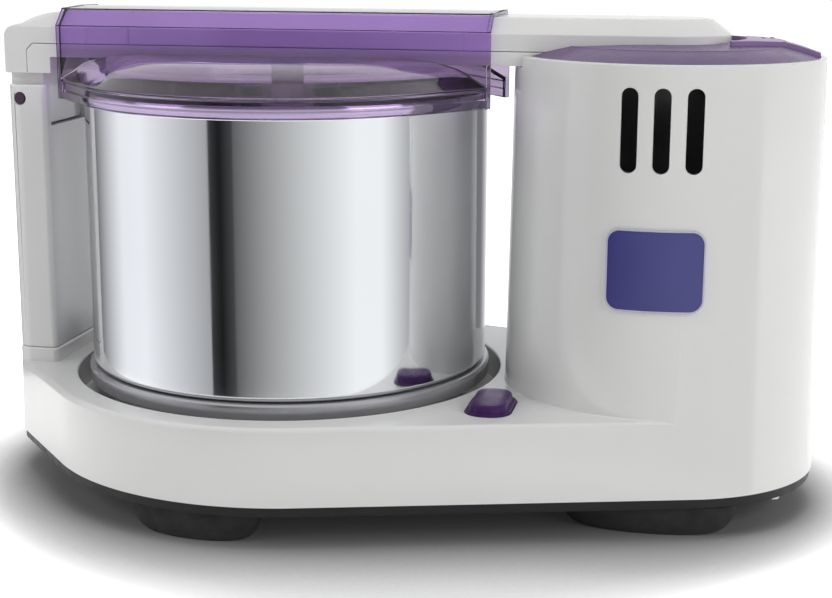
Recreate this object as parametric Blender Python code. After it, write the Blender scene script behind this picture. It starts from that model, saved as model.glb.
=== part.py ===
"""Table-top wet grinder: drum, stones, swing arm, lid, motor tower and belt drive.

Metres, +Z up, front at -Y. The origin is on the table under the middle of the body.
"""

import math

import bmesh
import bpy
from mathutils import Matrix, Vector

# Fits
GAP = 0.0003
RUNNING_GAP = 0.0006
OVERRUN = 0.003
EMPTY_SIZE = 0.005

# Steps round a circle
LARGE_STEPS = 48
OUTLINE_STEPS = 72
SMALL_STEPS = 16
SCREW_STEPS = 8
EDGE_STEPS = 3

# Base casing
WALL = 0.0028
DRAFT_SHARE = 0.017
BASE_BOTTOM_Z = 0.0218
DECK_Z = 0.063
DECK_EDGE_R = 0.004
DECK_RIM_WIDTH = 0.0166
NOSE_REACH = 0.0185
NOSE_FLAT_HALF = 0.021
NOSE_CORNER_R = 0.020
DRUM_X = -0.0695

# Motor tower
TOWER_CLEARANCE = 0.0045
TOWER_HALF_X = 0.0848
TOWER_HALF_Y = 0.079
TOWER_TOP_Z = 0.242
TOWER_FOOT_RISE = 0.001
TOWER_PROUD = 0.00015
RIM_EDGE_R = 0.0012

# Vents in the tower front
VENT_COUNT = 3
VENT_PITCH = 0.0161
VENT_SHIFT = 0.0019
VENT_HALF_WIDTH = 0.0042
VENT_LOW_Z = 0.1885
VENT_HIGH_Z = 0.2307

# Plain badge plate on the tower front
BADGE_SHIFT = 0.0008
BADGE_HALF_WIDTH = 0.0248
BADGE_LOW_Z = 0.119
BADGE_HIGH_Z = 0.161
BADGE_CORNER_R = 0.007
BADGE_THICKNESS = 0.0012

# Well under the drum
WELL_CLEARANCE = 0.0066
WELL_FLOOR_Z = 0.045

# Base plate, feet and base screws
PLATE_INSET = 0.0010
PLATE_BOTTOM_Z = 0.0163
PLATE_THICKNESS = 0.003
PLATE_RIM = 0.003
PLATE_VENT_COUNT = 5
PLATE_VENT_PITCH = 0.014
PLATE_VENT_HALF_WIDTH = 0.003
PLATE_VENT_HALF_LENGTH = 0.024
FOOT_HALF_WIDTH = 0.015
FOOT_BEVEL = 0.0035
FOOT_TOE_SHARE = 0.72
FOOT_BEVEL_SHARE = 0.90
LEFT_FOOT_HALF_LENGTH = 0.037
LEFT_FOOT_RING_R = 0.1185
LEFT_FOOT_ANGLE = 99.0
RIGHT_FOOT_HALF_LENGTH = 0.046
RIGHT_FOOT_Y = 0.060
SCREW_HEAD_R = 0.0035
SCREW_HEAD_HEIGHT = 0.0014
SCREW_R = 0.0015
SCREW_LENGTH = 0.015
PILLAR_R = 0.005
PILLAR_INSET = 0.0124
PILLAR_ANGLES = (74.0, 150.0, -150.0, -74.0)
PILLAR_WALL_BITE = 0.0035
TOWER_PILLAR_ANGLES = (35.0, -35.0)
TOWER_PILLAR_TOP_Z = 0.047

# Arm post
POST_HALF_Y = 0.032
POST_INSET = 0.0008
POST_DEPTH = 0.0244
POST_CORNER_R = 0.003
POST_OUTER_CORNER_R = 0.010
POST_TOP_Z = 0.221
POST_WALL = 0.0026
POST_HOLLOW_TOP_Z = 0.188
PEDESTAL_RISE = 0.008
PEDESTAL_MARGIN = 0.0010
PEDESTAL_EDGE_R = 0.0015

# Arm hinge
PIN_INSET = 0.009
PIN_Z = 0.2134
PIN_R = 0.0032
PIN_PROUD = 0.0004
TONGUE_HALF_Y = 0.025
TONGUE_REACH = 0.0115
TONGUE_TOE_REACH = 0.0038
TONGUE_LOW_Z = 0.1984
TONGUE_HEEL_R = 0.0075
SLOT_BACK_REACH = 0.001
SLOT_SILL_Z = 0.2047

# Swing arm
ARM_HALF_Y = 0.031
ARM_INSET = 0.0003
ARM_NOSE_REACH = 0.0321
ARM_LEFT_CORNER_R = 0.004
ARM_BOTTOM_Z = 0.2365
ARM_SEAM_Z = 0.244
ARM_CREASE_Z = 0.253
ARM_BEVEL_TOP_Z = 0.2604
ARM_TOP_Z = 0.261
ARM_BEVEL = 0.0095
ARM_CROWN_INSET = 0.0125
ARM_CORNER_WIDTH = 0.034
ARM_CORNER_HEIGHT = 0.018
ARM_WALL = 0.0026
LEG_BOTTOM_Z = 0.2275
LEG_SEAM_INSET = 0.0142
LEG_DEPTH = 0.0282
ARM_STEPS = 40

# Pressure plunger in the arm
PLUNGER_R = 0.009
PLUNGER_FLANGE_R = 0.013
PLUNGER_FLANGE_HEIGHT = 0.003
PLUNGER_TAIL_R = 0.005
PLUNGER_TAIL_TOP_Z = 0.252
SPRING_R = 0.009
SPRING_WIRE = 0.0018

# Lid with its hood over the arm
LID_R = 0.1145
LID_WALL = 0.0016
LID_CORNER_R = 0.0025
LID_SKIRT_Z = 0.214
LID_EDGE_Z = 0.2255
LID_TOP_Z = 0.2395
LID_DOME_SHARES = ((0.71, 0.0), (0.80, 0.11), (0.90, 0.40), (0.95, 0.71), (1.0, 1.0))
HOOD_INSET = 0.0332
HOOD_REACH = 0.1194
HOOD_WALL = 0.0016
HOOD_SIDE_GAP = 0.0004
HOOD_CROWN = 0.0006

# Drum
DRUM_R = 0.1114
DRUM_WALL = 0.001
DRUM_BOTTOM_Z = 0.069
DRUM_RIM_Z = 0.2205
DRUM_BEAD_PROUD = 0.001
DRUM_BEAD_HEIGHT = 0.007
DRUM_FOOT_R = 0.003

# Grey drum base with its drive socket
DRUM_BASE_PROUD = 0.0024
DRUM_BASE_LOW_Z = 0.0595
DRUM_BASE_RIM = 0.004
DRUM_BASE_PLATE = 0.003
SOCKET_R = 0.022
SOCKET_LOW_Z = 0.0595
DOG_R = 0.014
DOG_LOW_Z = 0.059
DOG_SIDES = 6

# Stones and what carries them
BED_STONE_R = 0.1045
BED_STONE_HEIGHT = 0.016
BED_STONE_BORE_R = 0.012
STONE_TILT = 22.0
STONE_INNER = 0.038
STONE_OUTER = 0.097
STONE_EDGE = 0.002
STONE_LIFT = 0.0004
AXLE_R = 0.0045
AXLE_INNER = 0.022
AXLE_OUTER = 0.1015
AXLE_CAP_R = 0.009
AXLE_CAP_THICKNESS = 0.003
DRUM_SHAFT_R = 0.009
DRUM_SHAFT_TOP_Z = 0.2044
DRUM_SHAFT_FOOT_R = 0.0112
DRUM_SHAFT_FOOT_HEIGHT = 0.006
CARRIER_R = 0.014
CARRIER_TOP_Z = 0.2127
CARRIER_LOW_RISE = 0.0010
CARRIER_COLLAR_R = 0.020
CARRIER_COLLAR_HEIGHT = 0.026
BOSS_R = 0.007
BOSS_INNER = 0.021
BOSS_OUTER = 0.0355
SCRAPER_RING_R = 0.0175
SCRAPER_RING_LOW_Z = 0.175
SCRAPER_RING_HEIGHT = 0.010
SCRAPER_ARM_HALF_Y = 0.005
SCRAPER_BLADE_X = 0.012
SCRAPER_BLADE_HALF_Y = 0.0016
SCRAPER_BLADE_LOW_Z = 0.092
SCRAPER_WALL_GAP = 0.0014
SCRAPER_STEP = 0.001

# Drive train
SPINDLE_R = 0.008
SPINDLE_LOW_Z = 0.023
SPINDLE_TOP_Z = 0.068
HUB_R = 0.017
HUB_LOW_Z = 0.0385
HUB_TOP_Z = 0.057
HUB_WALL = 0.003
HUB_FLANGE_R = 0.032
HUB_FLANGE_THICKNESS = 0.003
BEARING_HEIGHT = 0.007
SEAL_HEIGHT = 0.0015
PULLEY_R = 0.088
PULLEY_LOW_Z = 0.025
PULLEY_HEIGHT = 0.011
PULLEY_RIM = 0.004
PULLEY_WEB = 0.004
PULLEY_HUB_R = 0.016
BELT_THICKNESS = 0.0025
BELT_LOW_Z = 0.0265
BELT_HEIGHT = 0.008
MOTOR_PULLEY_R = 0.011
MOTOR_SHAFT_R = 0.006
MOTOR_SHAFT_TOP_Z = 0.171
MOTOR_R = 0.050
MOTOR_HEIGHT = 0.086
MOTOR_END_R = 0.034
MOTOR_END_HEIGHT = 0.010
FAN_R = 0.044
FAN_HUB_R = 0.014
FAN_HEIGHT = 0.014
FAN_BLADES = 9
FAN_BLADE_SHARE = 0.28
BRACKET_HALF_X = 0.075
BRACKET_HALF_Y = 0.058
BRACKET_TOP_Z = 0.058
BRACKET_THICKNESS = 0.003
BRACKET_LEG_X = 0.044
BRACKET_LEG_Y = 0.042
BRACKET_LEG_HALF = 0.005
CAPACITOR_R = 0.0105
CAPACITOR_SHIFT = 0.0627
CAPACITOR_HEIGHT = 0.050
CAPACITOR_EDGE = 0.002

# Power button and switch
BUTTON_SHIFT = 0.0817
BUTTON_INSET = 0.0321
BUTTON_HALF_X = 0.0125
BUTTON_HALF_Y = 0.0215
BUTTON_CORNER_R = 0.008
BUTTON_PROUD = 0.0035
BUTTON_CROWN = 0.0012
BUTTON_CROWN_INSET = 0.0030
BUTTON_FLANGE_LIP = 0.0015
BUTTON_FLANGE_HEIGHT = 0.002
BUTTON_STEM_LOW_Z = 0.0542
BUTTON_STEM_HALF = 0.004
SWITCH_HALF_X = 0.008
SWITCH_HALF_Y = 0.0255
SWITCH_END = 0.0025
SWITCH_LOW_Z = 0.041
SWITCH_FLOOR_Z = 0.0512

# Tower cap and release button
CAP_LOW_Z = 0.2322
CAP_EDGE_Z = 0.2416
CAP_RISE = 0.0084
CAP_WALL = 0.0026
CAP_DOME_SHARES = ((0.0, 0.0), (0.162, 0.38), (0.389, 0.70), (0.67, 0.93), (0.93, 1.0))
CHANNEL_SIDE_GAP = 0.0006
RELEASE_INNER_R = 0.0385
RELEASE_EDGE = 0.0050
RELEASE_HALF_ANGLE = 40.0
RELEASE_SIDE_GAP = 0.0004
RELEASE_LOW_Z = 0.2335

# Cord gland in the back of the tower
GLAND_ANGLE = 55.0
GLAND_SAG = 0.0009
GLAND_Z = 0.043
GLAND_HOLE_R = 0.0065
GLAND_FLANGE_R = 0.0095
GLAND_FLANGE_THICKNESS = 0.002
GLAND_TAIL_R = 0.0052
GLAND_TAIL_LENGTH = 0.012
GLAND_BORE_R = 0.0032

# Sizes that follow from others
DRUM_BEAD_R = DRUM_R + DRUM_BEAD_PROUD
DRUM_BASE_R = DRUM_R + DRUM_BASE_PROUD
WELL_R = DRUM_BASE_R + WELL_CLEARANCE
BASE_ROUND_R = WELL_R + DECK_RIM_WIDTH
PILLAR_RING_R = WELL_R - PILLAR_INSET
TOWER_X = DRUM_X + WELL_R + TOWER_CLEARANCE + TOWER_HALF_X
VENT_MID_X = TOWER_X + VENT_SHIFT
BADGE_MID_X = TOWER_X + BADGE_SHIFT
NOSE_X = DRUM_X - BASE_ROUND_R - NOSE_REACH
POST_OUTER_X = NOSE_X + POST_INSET
POST_INNER_X = POST_OUTER_X + POST_DEPTH
PIN_X = POST_OUTER_X + PIN_INSET
TONGUE_RIGHT_X = PIN_X + TONGUE_REACH
TONGUE_TOE_X = PIN_X + TONGUE_TOE_REACH
SLOT_BACK_X = PIN_X - SLOT_BACK_REACH
ARM_LEFT_X = NOSE_X + ARM_INSET
ARM_NOSE_X = TOWER_X + ARM_NOSE_REACH
LEG_SEAM_X = ARM_LEFT_X + LEG_SEAM_INSET
LEG_INNER_X = ARM_LEFT_X + LEG_DEPTH
HOOD_LEFT_X = ARM_LEFT_X + HOOD_INSET
HOOD_RIGHT_X = DRUM_X + HOOD_REACH
CAPACITOR_X = TOWER_X - CAPACITOR_SHIFT
BUTTON_X = TOWER_X - BUTTON_SHIFT
FRONT_SLOPE_SHARE = (BUTTON_X - DRUM_X) / (TOWER_X - DRUM_X)
BUTTON_Y = BUTTON_INSET - BASE_ROUND_R - (TOWER_HALF_Y - BASE_ROUND_R) * FRONT_SLOPE_SHARE
PLATE_TOP_Z = PLATE_BOTTOM_Z + PLATE_THICKNESS
CHANNEL_FLOOR_Z = ARM_BOTTOM_Z - RUNNING_GAP
STONE_BED_Z = DRUM_BOTTOM_Z + DRUM_WALL + GAP + BED_STONE_HEIGHT


# Materials

def finish(name, color, roughness, metallic=0.0, alpha=1.0):
    """A Principled material of one plain colour."""
    material = bpy.data.materials.new(name)
    material.use_nodes = True
    shader = material.node_tree.nodes["Principled BSDF"]
    shader.inputs["Base Color"].default_value = (*color, 1.0)
    shader.inputs["Roughness"].default_value = roughness
    shader.inputs["Metallic"].default_value = metallic
    shader.inputs["Alpha"].default_value = alpha
    material.diffuse_color = (*color, alpha)
    return material


def white_plastic():
    return finish("white_plastic", (0.78, 0.78, 0.77), 0.22)


def purple_plastic():
    return finish("purple_plastic", (0.16, 0.07, 0.24), 0.28)


def dark_purple_plastic():
    return finish("dark_purple_plastic", (0.06, 0.02, 0.10), 0.30)


def clear_purple():
    return finish("clear_purple", (0.30, 0.14, 0.46), 0.08, 0.0, 0.45)


def badge_blue():
    return finish("badge_blue", (0.03, 0.04, 0.25), 0.25)


def polished_steel():
    return finish("polished_steel", (0.72, 0.73, 0.75), 0.12, 1.0)


def turned_steel():
    return finish("turned_steel", (0.50, 0.51, 0.53), 0.35, 1.0)


def cast_aluminium():
    return finish("cast_aluminium", (0.60, 0.61, 0.62), 0.45, 1.0)


def motor_iron():
    return finish("motor_iron", (0.14, 0.15, 0.16), 0.55, 0.6)


def grey_plastic():
    return finish("grey_plastic", (0.20, 0.21, 0.22), 0.40)


def black_plastic():
    return finish("black_plastic", (0.025, 0.025, 0.027), 0.50)


def black_rubber():
    return finish("black_rubber", (0.015, 0.015, 0.015), 0.85)


def granite():
    return finish("granite", (0.16, 0.16, 0.16), 0.75)


def food_plastic():
    return finish("food_plastic", (0.62, 0.62, 0.60), 0.40)


# Mesh tools

def clear_scene():
    for thing in list(bpy.data.objects):
        bpy.data.objects.remove(thing)


def solid(name, points, faces, material):
    """An object from points and faces, its faces turned outwards."""
    mesh = bpy.data.meshes.new(name)
    mesh.from_pydata([tuple(p) for p in points], [], faces)
    shell = bmesh.new()
    shell.from_mesh(mesh)
    bmesh.ops.recalc_face_normals(shell, faces=shell.faces)
    shell.to_mesh(mesh)
    shell.free()
    thing = bpy.data.objects.new(name, mesh)
    if material:
        mesh.materials.append(material)
    bpy.context.scene.collection.objects.link(thing)
    return thing


def loft(name, rings, material=None, closed=False):
    """A solid through rings of equally many points.

    It has a face at each end, or is closed by joining its last ring to its first.
    """
    count = len(rings[0])
    points = [p for each in rings for p in each]
    faces = []
    spans = len(rings) if closed else len(rings) - 1
    for level in range(spans):
        low = level * count
        high = (level + 1) % len(rings) * count
        for k in range(count):
            after = (k + 1) % count
            faces.append((low + k, low + after, high + after, high + k))
    if not closed:
        faces.append(tuple(range(count)))
        faces.append(tuple(range(len(points) - count, len(points))))
    return solid(name, points, faces, material)


def turned(name, profile, material=None, steps=LARGE_STEPS, at=(0.0, 0.0, 0.0)):
    """A solid turned about +Z from a closed outline of (radius, height) points.

    An outline that starts and ends on the axis gets a flat face at each end.
    """
    rings = []
    for radius, height in profile:
        if radius == 0:
            continue
        turn = []
        for k in range(steps):
            angle = 2 * math.pi * k / steps
            turn.append((radius * math.cos(angle), radius * math.sin(angle), height))
        rings.append(turn)
    thing = loft(name, rings, material, closed=profile[0][0] > 0)
    thing.location = at
    return thing


def support_outline(rounds, steps):
    """Points and outward normals of the tight outline round circles and ellipses.

    Each round is (x, y, half size along X, half size along Y).
    """
    outline = []
    for k in range(steps):
        angle = 2 * math.pi * (k + 0.5) / steps
        normal = Vector((math.cos(angle), math.sin(angle)))
        best = None
        for x, y, half_x, half_y in rounds:
            reach = Vector((half_x * normal.x, half_y * normal.y)).length
            spot = Vector((x + half_x ** 2 * normal.x / reach, y + half_y ** 2 * normal.y / reach))
            if best is None or spot.dot(normal) > best.dot(normal):
                best = spot
        outline.append((best, normal))
    return outline


def ring(outline, inset, height):
    """The outline moved inwards by inset, at a height."""
    return [(p.x - inset * n.x, p.y - inset * n.y, height) for p, n in outline]


def plate(name, outline, low, high, inset=0.0, material=None):
    return loft(name, [ring(outline, inset, low), ring(outline, inset, high)], material)


def block(name, low, high, material=None):
    """A box between two corners."""
    corners = [(low[0], low[1]), (high[0], low[1]), (high[0], high[1]), (low[0], high[1])]
    rings = [[(x, y, z) for x, y in corners] for z in (low[2], high[2])]
    return loft(name, rings, material)


def side_slab(name, outline_xz, half_y, material=None):
    """A slab between -half_y and +half_y from an outline in X and Z."""
    rings = [[(x, y, z) for x, z in outline_xz] for y in (-half_y, half_y)]
    return loft(name, rings, material)


def pin_along_y(name, x, z, radius, y_from, y_to, material=None, steps=SMALL_STEPS):
    """A round bar along Y."""
    rings = []
    for y in (y_from, y_to):
        spots = []
        for k in range(steps):
            angle = 2 * math.pi * k / steps
            spots.append((x + radius * math.cos(angle), y, z + radius * math.sin(angle)))
        rings.append(spots)
    return loft(name, rings, material)


def boolean(target, tool, operation):
    modifier = target.modifiers.new(operation.title(), "BOOLEAN")
    modifier.operation = operation
    modifier.solver = "EXACT"
    modifier.object = tool
    tool.hide_render = True
    tool.display_type = "WIRE"


def cut(target, *tools):
    for tool in tools:
        boolean(target, tool, "DIFFERENCE")


def join(target, *tools):
    for tool in tools:
        boolean(target, tool, "UNION")


def keep_common(target, tool):
    boolean(target, tool, "INTERSECT")


def settle():
    """Turns each object's modifiers into its mesh, drops the cutters and shades the rest smooth."""
    bpy.context.view_layer.update()
    graph = bpy.context.evaluated_depsgraph_get()
    meshes = {}
    for thing in bpy.data.objects:
        if thing.type == "MESH" and not thing.hide_render:
            meshes[thing] = bpy.data.meshes.new_from_object(thing.evaluated_get(graph))
    for thing, mesh in meshes.items():
        thing.modifiers.clear()
        thing.data = mesh
        mesh.shade_smooth()
        mesh.set_sharp_from_angle(angle=math.radians(32))
    for thing in list(bpy.data.objects):
        if thing.type == "MESH" and thing.hide_render:
            bpy.data.objects.remove(thing)


def axis_empty(name, spot, pieces, parent=None):
    """An empty on a joint's axis that carries the pieces which move about it."""
    carrier = bpy.data.objects.new(name, None)
    carrier.empty_display_size = EMPTY_SIZE
    bpy.context.scene.collection.objects.link(carrier)
    carrier.location = spot
    place = Matrix.Translation(spot)
    if parent:
        carrier.parent = parent
        carrier.matrix_parent_inverse = Matrix.Translation(parent["spot"]).inverted()
    carrier["spot"] = spot
    for piece in pieces:
        piece.parent = carrier
        piece.matrix_parent_inverse = place.inverted()
    return carrier


# Outlines in plan

def draft(height):
    """How far the casing walls have leaned in at a height."""
    return DRAFT_SHARE * (height - BASE_BOTTOM_Z)


def base_outline():
    nose = NOSE_X + NOSE_CORNER_R
    rounds = [
        (DRUM_X, 0.0, BASE_ROUND_R, BASE_ROUND_R),
        (TOWER_X, 0.0, TOWER_HALF_X, TOWER_HALF_Y),
        (nose, NOSE_FLAT_HALF, NOSE_CORNER_R, NOSE_CORNER_R),
        (nose, -NOSE_FLAT_HALF, NOSE_CORNER_R, NOSE_CORNER_R),
    ]
    return support_outline(rounds, OUTLINE_STEPS)


def post_outline(margin):
    """The post in plan, with soft outer corners, grown by margin except on its outer side."""
    rounds = []
    for side_y in (-1, 1):
        outer_y = side_y * (POST_HALF_Y + margin - POST_OUTER_CORNER_R)
        inner_y = side_y * (POST_HALF_Y + margin - POST_CORNER_R)
        rounds.append((POST_OUTER_X + POST_OUTER_CORNER_R, outer_y, POST_OUTER_CORNER_R, POST_OUTER_CORNER_R))
        rounds.append((POST_INNER_X + margin - POST_CORNER_R, inner_y, POST_CORNER_R, POST_CORNER_R))
    return support_outline(rounds, 2 * SMALL_STEPS)


def tower_outline():
    return support_outline([(TOWER_X, 0.0, TOWER_HALF_X, TOWER_HALF_Y)], LARGE_STEPS)


def rounded_box_outline(x, y, half_x, half_y, corner_r, steps=SMALL_STEPS):
    rounds = []
    for side_x in (-1, 1):
        for side_y in (-1, 1):
            corner_x = x + side_x * (half_x - corner_r)
            corner_y = y + side_y * (half_y - corner_r)
            rounds.append((corner_x, corner_y, corner_r, corner_r))
    return support_outline(rounds, steps)


def arm_ring(left, inset, height):
    """The arm's outline in plan: square at the hinge, round at the nose."""
    nose_r = ARM_HALF_Y - inset
    corner = ARM_LEFT_CORNER_R
    corner_x = left + inset + corner
    corner_y = nose_r - corner
    rounds = [
        (ARM_NOSE_X - ARM_HALF_Y, 0.0, nose_r, nose_r),
        (corner_x, corner_y, corner, corner),
        (corner_x, -corner_y, corner, corner),
    ]
    return ring(support_outline(rounds, ARM_STEPS), 0.0, height)


def arm_plate(name, left, inset, low, high, material=None):
    return loft(name, [arm_ring(left, inset, low), arm_ring(left, inset, high)], material)


def base_pillar_spots():
    """Places of the screw pillars: four round the drum, two in the tower."""
    spots = []
    for degrees in PILLAR_ANGLES:
        angle = math.radians(degrees)
        spots.append((DRUM_X + PILLAR_RING_R * math.cos(angle), PILLAR_RING_R * math.sin(angle)))
    inset = WALL + PILLAR_WALL_BITE
    for degrees in TOWER_PILLAR_ANGLES:
        angle = math.radians(degrees)
        half_x = TOWER_HALF_X - inset
        half_y = TOWER_HALF_Y - inset
        spots.append((TOWER_X + half_x * math.cos(angle), half_y * math.sin(angle)))
    return spots


# Casing

def base_body(material):
    """The low round body with its softened deck edge."""
    outline = base_outline()
    edge_low = DECK_Z - DECK_EDGE_R
    rings = [ring(outline, 0.0, BASE_BOTTOM_Z)]
    for step in range(EDGE_STEPS + 1):
        angle = math.radians(90 * step / EDGE_STEPS)
        inset = draft(edge_low) + DECK_EDGE_R * (1 - math.cos(angle))
        rings.append(ring(outline, inset, edge_low + DECK_EDGE_R * math.sin(angle)))
    return loft("main_housing", rings, material)


def tower_body():
    outline = tower_outline()
    foot = BASE_BOTTOM_Z + TOWER_FOOT_RISE
    edge_low = TOWER_TOP_Z - RIM_EDGE_R
    rings = [
        ring(outline, draft(foot) - TOWER_PROUD, foot),
        ring(outline, draft(edge_low) - TOWER_PROUD, edge_low),
        ring(outline, draft(edge_low) - TOWER_PROUD + RIM_EDGE_R, TOWER_TOP_Z),
    ]
    return loft("tower_body", rings)


def base_hollow():
    outline = base_outline()
    top = DECK_Z - WALL
    return loft("base_hollow", [
        ring(outline, WALL, BASE_BOTTOM_Z - OVERRUN),
        ring(outline, WALL + draft(top), top),
    ])


def tower_hollow():
    outline = tower_outline()
    top = TOWER_TOP_Z + OVERRUN
    return loft("tower_hollow", [
        ring(outline, WALL, BASE_BOTTOM_Z - OVERRUN),
        ring(outline, WALL + draft(top), top),
    ])


def drum_well(target):
    """The drip well that the drum turns in, with the hole for the bearing hub."""
    at = (DRUM_X, 0.0, 0.0)
    outer = WELL_R + WALL
    top = DECK_Z - WALL / 2
    low = WELL_FLOOR_Z - WALL
    cup = [(0.0, low), (outer, low), (outer, top), (0.0, top)]
    hollow_top = DECK_Z + OVERRUN
    hollow = [(0.0, WELL_FLOOR_Z), (WELL_R, WELL_FLOOR_Z), (WELL_R, hollow_top), (0.0, hollow_top)]
    hub_hole = HUB_R + GAP
    hole = [(0.0, low - OVERRUN), (hub_hole, low - OVERRUN)]
    hole += [(hub_hole, WELL_FLOOR_Z + OVERRUN), (0.0, WELL_FLOOR_Z + OVERRUN)]
    join(target, turned("well_cup", cup, at=at))
    cut(target, turned("well_hollow", hollow, at=at))
    cut(target, turned("well_hole", hole, steps=SMALL_STEPS, at=at))


def pedestal():
    """The step on the deck that the arm post stands on."""
    low = DECK_Z - DECK_EDGE_R
    top = DECK_Z + PEDESTAL_RISE
    outline = post_outline(PEDESTAL_MARGIN)
    return loft("pedestal", [
        ring(outline, 0.0, low),
        ring(outline, 0.0, top - PEDESTAL_EDGE_R),
        ring(outline, PEDESTAL_EDGE_R, top),
    ])


def screw_pillars(target):
    drum_pillars = len(PILLAR_ANGLES)
    for number, (x, y) in enumerate(base_pillar_spots()):
        low = PLATE_TOP_Z + GAP
        top = WELL_FLOOR_Z - WALL / 2
        if number >= drum_pillars:
            low = BASE_BOTTOM_Z + GAP
            top = TOWER_PILLAR_TOP_Z
        shape = [(0.0, low), (PILLAR_R, low), (PILLAR_R, top), (0.0, top)]
        join(target, turned(f"pillar_{number}", shape, steps=SCREW_STEPS, at=(x, y, 0.0)))
        radius = SCREW_R + GAP
        end = PLATE_BOTTOM_Z + SCREW_LENGTH + GAP
        hole = [(0.0, low - OVERRUN), (radius, low - OVERRUN), (radius, end), (0.0, end)]
        cut(target, turned(f"pillar_hole_{number}", hole, steps=SCREW_STEPS, at=(x, y, 0.0)))


def tower_vents(target):
    """Three upright slots with round ends in the tower's front wall."""
    for number in range(VENT_COUNT):
        x = VENT_MID_X + VENT_PITCH * (number - (VENT_COUNT - 1) / 2)
        outline = []
        half = SMALL_STEPS // 2
        for k in range(half + 1):
            angle = math.pi * k / half
            z = VENT_HIGH_Z - VENT_HALF_WIDTH + VENT_HALF_WIDTH * math.sin(angle)
            outline.append((x + VENT_HALF_WIDTH * math.cos(angle), z))
        for k in range(half + 1):
            angle = math.pi + math.pi * k / half
            z = VENT_LOW_Z + VENT_HALF_WIDTH + VENT_HALF_WIDTH * math.sin(angle)
            outline.append((x + VENT_HALF_WIDTH * math.cos(angle), z))
        front = -TOWER_HALF_Y - OVERRUN
        rings = [[(px, y, pz) for px, pz in outline] for y in (front, 0.0)]
        cut(target, loft(f"vent_{number}", rings))


def arm_notch():
    """The notch in the tower rim that lets the arm down."""
    half_y = ARM_HALF_Y + CHANNEL_SIDE_GAP
    left = TOWER_X - TOWER_HALF_X - OVERRUN
    return block("arm_notch", (left, -half_y, CHANNEL_FLOOR_Z), (TOWER_X, half_y, TOWER_TOP_Z + OVERRUN))


def main_housing(material):
    housing = base_body(material)
    join(housing, tower_body())
    cut(housing, base_hollow(), tower_hollow())
    drum_well(housing)
    join(housing, pedestal())
    screw_pillars(housing)
    tower_vents(housing)
    outline = rounded_box_outline(BUTTON_X, BUTTON_Y, BUTTON_HALF_X, BUTTON_HALF_Y, BUTTON_CORNER_R)
    hole_low = DECK_Z - WALL - OVERRUN
    cut(housing, plate("button_hole", outline, hole_low, DECK_Z + OVERRUN, -RUNNING_GAP))
    cut(housing, arm_notch())
    cut(housing, gland_hole())
    return housing


def base_plate(material):
    outline = base_outline()
    top = BASE_BOTTOM_Z - GAP
    tray = plate("base_plate", outline, PLATE_BOTTOM_Z, top, PLATE_INSET, material)
    cut(tray, plate("tray_hollow", outline, PLATE_TOP_Z, top + OVERRUN, PLATE_INSET + PLATE_RIM))
    low = PLATE_BOTTOM_Z - OVERRUN
    high = PLATE_TOP_Z + OVERRUN
    radius = SCREW_R + GAP
    hole = [(0.0, low), (radius, low), (radius, high), (0.0, high)]
    for number, (x, y) in enumerate(base_pillar_spots()):
        cut(tray, turned(f"plate_hole_{number}", hole, steps=SCREW_STEPS, at=(x, y, 0.0)))
    for number in range(PLATE_VENT_COUNT):
        x = TOWER_X + PLATE_VENT_PITCH * (number - (PLATE_VENT_COUNT - 1) / 2)
        half = PLATE_VENT_HALF_WIDTH
        slot = rounded_box_outline(x, 0.0, half, PLATE_VENT_HALF_LENGTH, half, SCREW_STEPS)
        cut(tray, plate(f"plate_vent_{number}", slot, low, high))
    return tray


def foot(name, x, y, half_length, degrees, material):
    outline = support_outline([(0.0, 0.0, half_length, FOOT_HALF_WIDTH)], SMALL_STEPS)
    top = PLATE_BOTTOM_Z - GAP
    rim = ring(outline, 0.0, 0.0)
    pad = loft(name, [
        [(px * FOOT_TOE_SHARE, py * FOOT_TOE_SHARE, 0.0) for px, py, _ in rim],
        [(px * FOOT_BEVEL_SHARE, py * FOOT_BEVEL_SHARE, FOOT_BEVEL) for px, py, _ in rim],
        ring(outline, 0.0, top),
    ], material)
    pad.location = (x, y, 0.0)
    pad.rotation_euler = (0.0, 0.0, math.radians(degrees))
    return pad


def feet(material):
    for side, word in ((-1, "front"), (1, "rear")):
        angle = math.radians(side * LEFT_FOOT_ANGLE)
        x = DRUM_X + LEFT_FOOT_RING_R * math.cos(angle)
        y = LEFT_FOOT_RING_R * math.sin(angle)
        turn = side * (LEFT_FOOT_ANGLE - 90)
        foot(f"foot_{word}_left", x, y, LEFT_FOOT_HALF_LENGTH, turn, material)
        foot(f"foot_{word}_right", TOWER_X, side * RIGHT_FOOT_Y, RIGHT_FOOT_HALF_LENGTH, 0.0, material)


def base_screws(material):
    head_top = PLATE_BOTTOM_Z - GAP
    head_low = head_top - SCREW_HEAD_HEIGHT
    tip = PLATE_BOTTOM_Z + SCREW_LENGTH
    shape = [(0.0, head_low), (SCREW_HEAD_R, head_low), (SCREW_HEAD_R, head_top)]
    shape += [(SCREW_R, head_top), (SCREW_R, tip - SCREW_R), (SCREW_R / 3, tip), (0.0, tip)]
    for number, (x, y) in enumerate(base_pillar_spots(), 1):
        turned(f"base_screw_{number}", shape, material, SCREW_STEPS, (x, y, 0.0))


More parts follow.
